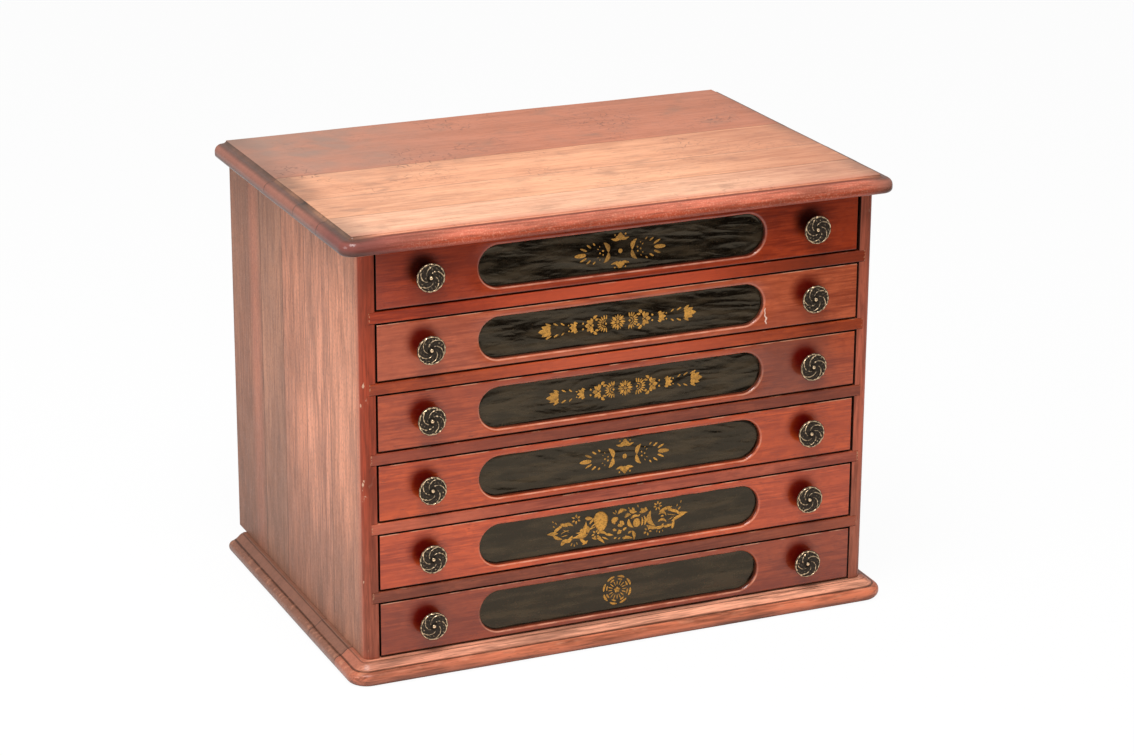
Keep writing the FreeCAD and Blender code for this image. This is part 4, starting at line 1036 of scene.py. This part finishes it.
fruit_and_flowers = np.concatenate([[
    (-71.0, 0.0, -84.6, 0.6, 4.4, SPIKE, 0), (-76.5, 0.6, -66.5, 6.6, 3.8, LEAF, 0.1),
    (-68.8, 10.2, -60.0, 6.2, 3.6, LEAF, 0), (-66.0, 8.8, -53.6, 5.6, 3.8, LEAF, 0.12),
    (-72.0, 5.2, -66.0, 8.4, 3.0, LEAF, 0), (-77.5, -1.4, -66.0, -7.6, 3.6, LEAF, -0.08),
    (-68.0, -14.2, -62.0, -8.0, 4.6, LEAF, 0), (-67.0, -9.4, -56.6, -10.8, 4.2, LEAF, 0),
    (-62.0, -12.4, -55.0, -4.6, 4.2, LEAF, -0.1), (-68.5, -1.8, -58.0, 2.0, 0.9, LEAF, 0.08),
    (-66.0, 3.2, -58.5, -0.6, 0.8, LEAF, 0), (-67.5, -4.4, -59.5, -3.4, 0.8, LEAF, 0),
    (-39.0, 8.8, -56.4, -7.6, 6.2, LEAF, 0.30), (-41.0, 4.4, -51.4, -2.6, 2.6, ROUND, 0.34),
    (-50.5, -6.8, -36.8, -5.6, 5.2, LEAF, -0.12), (-40.5, 3.6, -37.0, -5.2, 4.4, ROUND, 0.2),
    (-46.6, -1.4, -42.4, 0.8, 2.4, ROUND, 0), (-44.0, -3.6, -40.6, -1.6, 2.4, ROUND, 0),
    (-40.6, 12.6, -31.6, 11.0, 4.4, LEAF, 0), (-37.0, 9.6, -38.4, 13.8, 3.2, LEAF, 0),
    (-35.4, 4.8, -26.0, 11.8, 2.6, LEAF, 0.1), (-33.0, 1.6, -25.2, 6.8, 1.4, ROUND, 0),
    (-36.5, -0.8, -28.5, 1.2, 1.5, ROUND, 0), (-24.6, 18.0, -21.2, -5.6, 15.6, 0.62, 0.04),
    (-30.5, 8.0, -25.0, 14.0, 5.6, ROUND, 0), (-46.0, -10.6, -38.0, -16.6, 3.4, LEAF, 0),
    (-43.4, -16.8, -36.8, -13.0, 2.8, LEAF, 0), (-56.6, -16.6, -55.2, -13.0, 1.2, ROUND, 0),
    (-52.8, -18.0, -52.6, -14.6, 1.2, ROUND, 0), (-49.2, -16.2, -50.2, -13.2, 1.1, ROUND, 0),
    (-78.0, 15.0, -76.4, 12.8, 1.2, ROUND, 0), (-74.6, 12.6, -72.8, 10.2, 1.2, ROUND, 0),
    (-77.2, 9.0, -75.4, 7.4, 1.3, ROUND, 0), (-25.6, -5.2, -14.6, -9.6, 3.2, LEAF, 0.08),
    (-17.6, -9.2, -7.0, -11.6, 2.6, SPIKE, 0), (-27.4, -11.6, -17.6, -19.8, 2.8, LEAF, 0.08),
    (-24.4, -10.4, -20.8, -15.2, 2.2, LEAF, 0), (-20.6, -11.6, -13.0, -16.0, 1.9, LEAF, 0),
    (-32.6, -10.4, -26.6, -13.8, 1.9, LEAF, 0), (-9.4, 3.0, -2.0, 6.8, 6.4, ROUND, 0.1),
    (-5.4, 0.8, -9.2, 5.6, 3.2, ROUND, 0), (0.2, 3.4, 5.4, -1.8, 4.6, LEAF, 0),
    (-2.6, -1.2, 3.8, -2.4, 3.6, ROUND, 0), (-8.6, -5.2, -3.6, -6.6, 3.0, LEAF, 0),
    (3.4, -7.8, 8.0, -5.4, 2.7, ROUND, 0), (-3.4, -11.2, 2.6, -7.4, 3.2, LEAF, 0),
    (-1.0, -6.4, 1.6, -11.0, 2.8, LEAF, 0), (-6.8, -15.6, -3.6, -14.6, 1.6, ROUND, 0),
    (-2.4, -17.4, 0.6, -15.4, 1.5, ROUND, 0), (-8.4, 14.6, -4.8, 11.6, 1.2, ROUND, 0),
    (-5.2, 16.6, -4.6, 13.0, 1.0, ROUND, 0), (-2.8, 11.4, 8.0, 14.2, 4.6, LEAF, 0.22),
    (1.0, 15.6, 5.6, 14.2, 3.2, ROUND, 0), (10.8, 14.2, 20.2, 10.6, 4.2, LEAF, -0.1),
    (14.6, 16.6, 16.8, 12.0, 2.8, LEAF, 0), (9.6, 17.6, 11.0, 14.6, 1.2, ROUND, 0),
    (20.8, 18.8, 21.4, 15.8, 1.2, ROUND, 0), (22.6, 9.4, 33.0, 11.2, 3.8, LEAF, 0),
    (24.2, 13.6, 29.6, 10.6, 3.0, LEAF, 0), (29.2, 14.4, 31.6, 9.6, 3.0, LEAF, 0),
    (5.6, 6.0, 13.6, 8.6, 4.4, LEAF, 0.2), (10.6, 4.4, 16.4, -6.8, 4.2, LEAF, -0.2),
    (12.4, 3.8, 22.6, 5.4, 3.6, LEAF, 0.18), (20.0, -6.6, 19.6, 3.8, 9.6, ROUND, 0),
    (25.4, -6.4, 25.6, 4.4, 2.2, LEAF, -0.1), (28.6, -6.0, 28.0, 5.4, 3.0, LEAF, -0.16),
    (29.8, 0.8, 34.6, -4.4, 1.0, ROUND, 0), (23.6, 7.2, 20.6, 5.0, 1.2, ROUND, 0),
    (36.0, 9.8, 42.0, -9.0, 6.4, LEAF, -0.24), (31.0, -6.8, 46.0, -11.4, 4.4, LEAF, -0.08),
    (41.0, -10.8, 52.8, -9.6, 3.6, LEAF, -0.1), (45.0, 3.8, 54.6, 1.2, 3.0, ROUND, 0.34),
    (44.4, -4.6, 55.0, -6.6, 3.0, ROUND, 0.30), (47.6, 1.0, 51.4, 1.8, 2.0, ROUND, 0),
    (48.8, -8.8, 52.0, -8.0, 1.8, ROUND, 0), (46.0, 6.6, 62.0, 10.6, 3.6, LEAF, 0.06),
    (55.6, 9.0, 63.2, 5.2, 3.6, LEAF, 0), (58.4, 6.4, 70.6, 2.0, 3.4, LEAF, 0.06),
    (66.4, 2.4, 80.2, 1.6, 3.6, SPIKE, -0.06), (60.4, -6.6, 76.4, -0.4, 3.8, LEAF, 0.06),
    (61.4, -15.2, 63.6, -5.0, 3.8, LEAF, 0), (51.4, -11.6, 62.4, -9.8, 3.8, LEAF, 0),
    (54.6, 3.0, 66.0, -0.2, 0.9, LEAF, 0), (56.8, -4.4, 64.0, -0.8, 0.9, LEAF, 0),
    (68.4, 6.0, 71.2, 8.4, 1.3, ROUND, 0), (66.6, 10.0, 67.6, 12.4, 1.2, ROUND, 0),
    (71.2, 13.0, 71.8, 16.2, 1.5, ROUND, 0), (43.0, -16.8, 43.8, -14.2, 1.1, ROUND, 0),
    (46.6, -18.0, 47.0, -15.2, 1.2, ROUND, 0), (50.6, -16.8, 50.0, -14.2, 1.1, ROUND, 0),
    (2.6, -16.6, 15.4, -18.6, 3.2, LEAF, 0.06), (14.2, -9.6, 16.6, -21.0, 4.0, LEAF, 0.14),
    (4.4, -18.6, 8.0, -14.4, 2.4, LEAF, 0), (9.4, -12.4, 14.6, -10.2, 2.2, LEAF, 0)],
    wheel(-50.6, 13.0, 6, 1.9, 5.6, 2.3), wheel(-27.8, -7.2, 6, 1.7, 5.0, 2.2, start=70),
    wheel(44.2, 14.0, 7, 1.8, 5.4, 2.1), wheel(32.6, -13.4, 5, 1.7, 5.2, 2.2, start=60)])

round_flower = np.concatenate([
    wheel(0, 0, 16, 5.4, 11.2, 1.1, kind=ROUND), wheel(0, 0, 5, 0.4, 3.6, 3.0),
    [curved(*petal) for way in np.arange(8) * math.pi / 4 + 0.5
     for petal in ((15.8, way, 0.30, 2.7, -0.08), (12.4, way, 0.24, 2.0, -0.06))]])

STENCILS = {1: (crowns_and_fans, -2.8, -1.2), 2: (garland, -4.8, -1.5), 3: (garland, 4.4, 0.8),
            4: (crowns_and_fans, 4.9, 0.3), 5: (fruit_and_flowers, 0.0, 0.0),
            6: (round_flower, -2.4, -0.4)}

gilt, place = new_finish("gilt_bronze_powder")
powder = place.node("ShaderNodeAttribute", {"attribute_name": "powder"}, output="Fac")
thin_spots = smooth(noise(place, 700, 3), 0.34, 0.56)
covered = powder * (thin_spots * 0.45 + 0.55)
wire(gilt, {"Base Color": mix(covered, tone(0.030, 0.018, 0.007), tone(0.68, 0.325, 0.048)),
            "Roughness": 0.74 - thin_spots * 0.18, "Metallic": 0.25,
            "Normal": bumped(thin_spots, 0.00005, 0.4)})

for number, (marks, middle_x, middle_z) in STENCILS.items():
    low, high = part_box(f"drawer_{number}_panel")
    draw = np.random.default_rng(300 + number)
    marks = np.array(marks, float)
    marks[:, :4] += draw.normal(0, HAND_SHAKE, (len(marks), 4)) + [middle_x, middle_z] * 2
    marks[:, :5] *= 0.001
    marks[:, 4] *= draw.uniform(0.92, 1.08, len(marks))
    way = marks[:, 2:4] - marks[:, :2]
    side = np.stack([-way[:, 1], way[:, 0]], -1)
    share = np.linspace(0, 1, MARK_STEPS)
    bulge = np.sin(np.pi * share[None, :] ** 0.85) ** marks[:, 5:6]
    bulge[:, [0, -1]] = 0
    spine = (marks[:, None, :2] + way[:, None, :] * share[None, :, None]
             + side[:, None, :] * (4 * share * (1 - share))[None, :, None] * marks[:, None, 6:7])
    unit_side = side / np.linalg.norm(side, axis=1, keepdims=True)
    around = np.arange(MARK_SIDES) * 2 * np.pi / MARK_SIDES
    half_width = bulge * marks[:, 4:5] / 2
    plan = spine[:, :, None, :] + unit_side[:, None, None, :] * (
        half_width[:, :, None] * np.cos(around))[..., None]
    film = FILM_LIFT + FILM_THICK * np.sin(around) * np.minimum(bulge * 3, 1)[:, :, None]
    y = low.y + SHEET_SUNK - paint_height(plan[..., 0], plan[..., 1], number) - film
    vertices = np.stack([plan[..., 0], y, plan[..., 1] + (low.z + high.z) / 2], -1).reshape(-1, 3)
    faces = sum((grid_faces(MARK_STEPS, MARK_SIDES, MARK_STEPS * MARK_SIDES * item, closed=True)
                 for item in range(len(marks))), [])
    strength = np.repeat(np.clip(draw.normal(0.86, 0.12, len(marks)), 0.45, 1),
                         MARK_STEPS * MARK_SIDES)
    stencil = link_mesh(f"drawer_{number}_gilt", vertices, faces, field=("powder", strength))
    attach(stencil, f"drawer_{number}")
    stencil.data.materials.append(gilt)

# ---------------------------------------------------------------------------------------------
# Knobs and screws. Each knob is a thin-walled casting of antique brass, a pinwheel of five
# ribbed petals about a bead, on a short neck; a steel screw holds it from inside the drawer.
# ---------------------------------------------------------------------------------------------
KNOB_RADIUS, KNOB_HEIGHT, KNOB_RIM_LEVEL, KNOB_RIM_THICK = 0.0156, 0.0130, 0.0110, 0.0018
NECK_RADIUS, FOOT_RADIUS, FOOT_THICK = 0.0055, 0.0065, 0.0010
FACE_SUNK, DOME_RISE, RELIEF_RISE, MOAT_DROP, BEAD_RISE = 0.0004, 0.0008, 0.0010, 0.0011, 0.0013
ARMS, TWIST, BEADS, KNOB_COUNT = 5, 2.5, 14, 240
KNOB_TURNS = [0.3, 1.1, 0.7, 2.2, 1.8, 0.2, 2.9, 0.9, 1.5, 2.5, 0.5, 1.2]


def bump_at(value, middle, width):
    """Smooth bump about middle: e ** -d squared, with d the distance as a share of width."""
    return np.exp(-((value - middle) / width) ** 2)


def rosette(turn):
    """One knob about the origin, facing -Y, on a grid of share of the radius by angle.

    The face is a low dome with narrow arms on the spirals angle + TWIST * share = constant, a
    finer arm between each two, small scrolls outside the middle, a moat round a central bead
    and a beaded rim. The rear is a plain cup that runs in to the neck and the foot.
    """
    angle = np.linspace(0, 2 * np.pi, KNOB_COUNT, endpoint=False)[None, :]
    share = np.concatenate([np.linspace(0.01, 0.26, 12), np.linspace(0.28, 1.0, 40)])[:, None]
    spiral = angle + turn + TWIST * share
    arm = np.exp(-(np.sin(spiral * ARMS / 2) / 0.26) ** 2)
    thin_arm = np.exp(-(np.cos(spiral * ARMS / 2) / 0.14) ** 2)
    scroll = bump_at(share, 0.74, 0.10) * (0.5 + 0.5 * np.cos(spiral * ARMS * 3 + 9 * share))
    lobe = 0.5 + 0.5 * np.cos((angle + turn) * BEADS)
    wander = 0.5 + 0.5 * np.sin(2 * (angle + 1.7 * turn))
    radius = KNOB_RADIUS * (0.972 + 0.016 * lobe + 0.010 * wander)
    web = np.clip((share - 0.27) / 0.08, 0, 1) * np.clip((0.98 - share) / 0.08, 0, 1)
    moat, bead = bump_at(share, 0.20, 0.05), np.sqrt(np.clip(1 - (share / 0.135) ** 2, 0, 1))
    rim = bump_at(share, 0.94, 0.045) * (0.65 + 0.35 * lobe)
    plan = np.stack([radius * share * np.cos(angle), radius * share * np.sin(angle)], -1)
    lumps = drift(plan, 0.0036, 400 + int(10 * turn))
    relief = web * (arm * (0.9 - 0.3 * share) + thin_arm * 0.3 + scroll * 0.35 + lumps * 0.3) + rim
    height = (KNOB_RIM_LEVEL - FACE_SUNK + DOME_RISE * (1 - share ** 2) + RELIEF_RISE * relief
              - MOAT_DROP * moat + BEAD_RISE * bead)
    height = np.minimum(height, KNOB_HEIGHT - 0.0001)
    face = np.stack([plan[..., 0], -height, plan[..., 1]], -1)
    tint = np.clip(relief * 0.85 + bead * 1.2 - moat * 0.8 + 0.08, 0, 1)
    cup = [(1.0, 0.0009), (0.985, 0.0014), (0.92, KNOB_RIM_THICK), (0.60, KNOB_RIM_THICK + 0.0009)]
    neck = [(NECK_RADIUS, KNOB_RIM_LEVEL - 0.0040), (NECK_RADIUS, FOOT_THICK + 0.0012),
            (FOOT_RADIUS, FOOT_THICK), (FOOT_RADIUS, 0.0), (0.0002, 0.0)]
    rings = [(radius[0] * part, KNOB_RIM_LEVEL - drop) for part, drop in cup]
    rings += [(np.full(KNOB_COUNT, reach), level) for reach, level in neck]
    rear = np.stack([np.stack([reach * np.cos(angle[0]), np.full(KNOB_COUNT, -level),
                               reach * np.sin(angle[0])], -1) for reach, level in rings])
    shades = np.concatenate([tint, np.full((len(rings), KNOB_COUNT), 0.25)])
    shades[len(face)] = 0.7
    return np.concatenate([face, rear]), shades


brass, place = new_finish("antique_brass")
raised = place.node("ShaderNodeAttribute", {"attribute_name": "raised"}, output="Fac")
grime = noise(place, 900, 3)
bright = smooth(raised + (grime - 0.5), 0.34, 0.98)
wire(brass, {"Base Color": mix(bright, tone(0.026, 0.016, 0.008), tone(0.86, 0.62, 0.38)),
             "Roughness": 0.50 - bright * 0.24, "Metallic": bright * 0.45 + 0.50,
             "Normal": bumped(grime, 0.0002)})

steel, place = new_finish("screw_steel")
tarnish = smooth(noise(place, 500, 3), 0.42, 0.62)
wire(steel, {"Base Color": mix(tarnish, tone(0.42, 0.40, 0.37), tone(0.20, 0.16, 0.12)),
             "Roughness": tarnish * 0.25 + 0.32, "Metallic": 0.9})

for number in DRAWERS:
    low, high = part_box(f"drawer_{number}_knobs")
    vertices, faces, shades = [], [], []
    for order, x in enumerate((-KNOB_X, KNOB_X)):
        grid, tint = rosette(KNOB_TURNS[2 * number - 2 + order])
        faces += capped_faces(len(grid), KNOB_COUNT, order * tint.size)
        vertices.append(grid.reshape(-1, 3) + [x, high.y, (low.z + high.z) / 2])
        shades.append(tint.ravel())
    rosettes = link_mesh(f"drawer_{number}_rosettes", np.concatenate(vertices), faces, sharp=50,
                         field=("raised", np.concatenate(shades)))
    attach(rosettes, f"drawer_{number}")
    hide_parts(f"drawer_{number}_knobs")
    rosettes.data.materials.append(brass)
    give(f"drawer_{number}_knob_screws", steel)
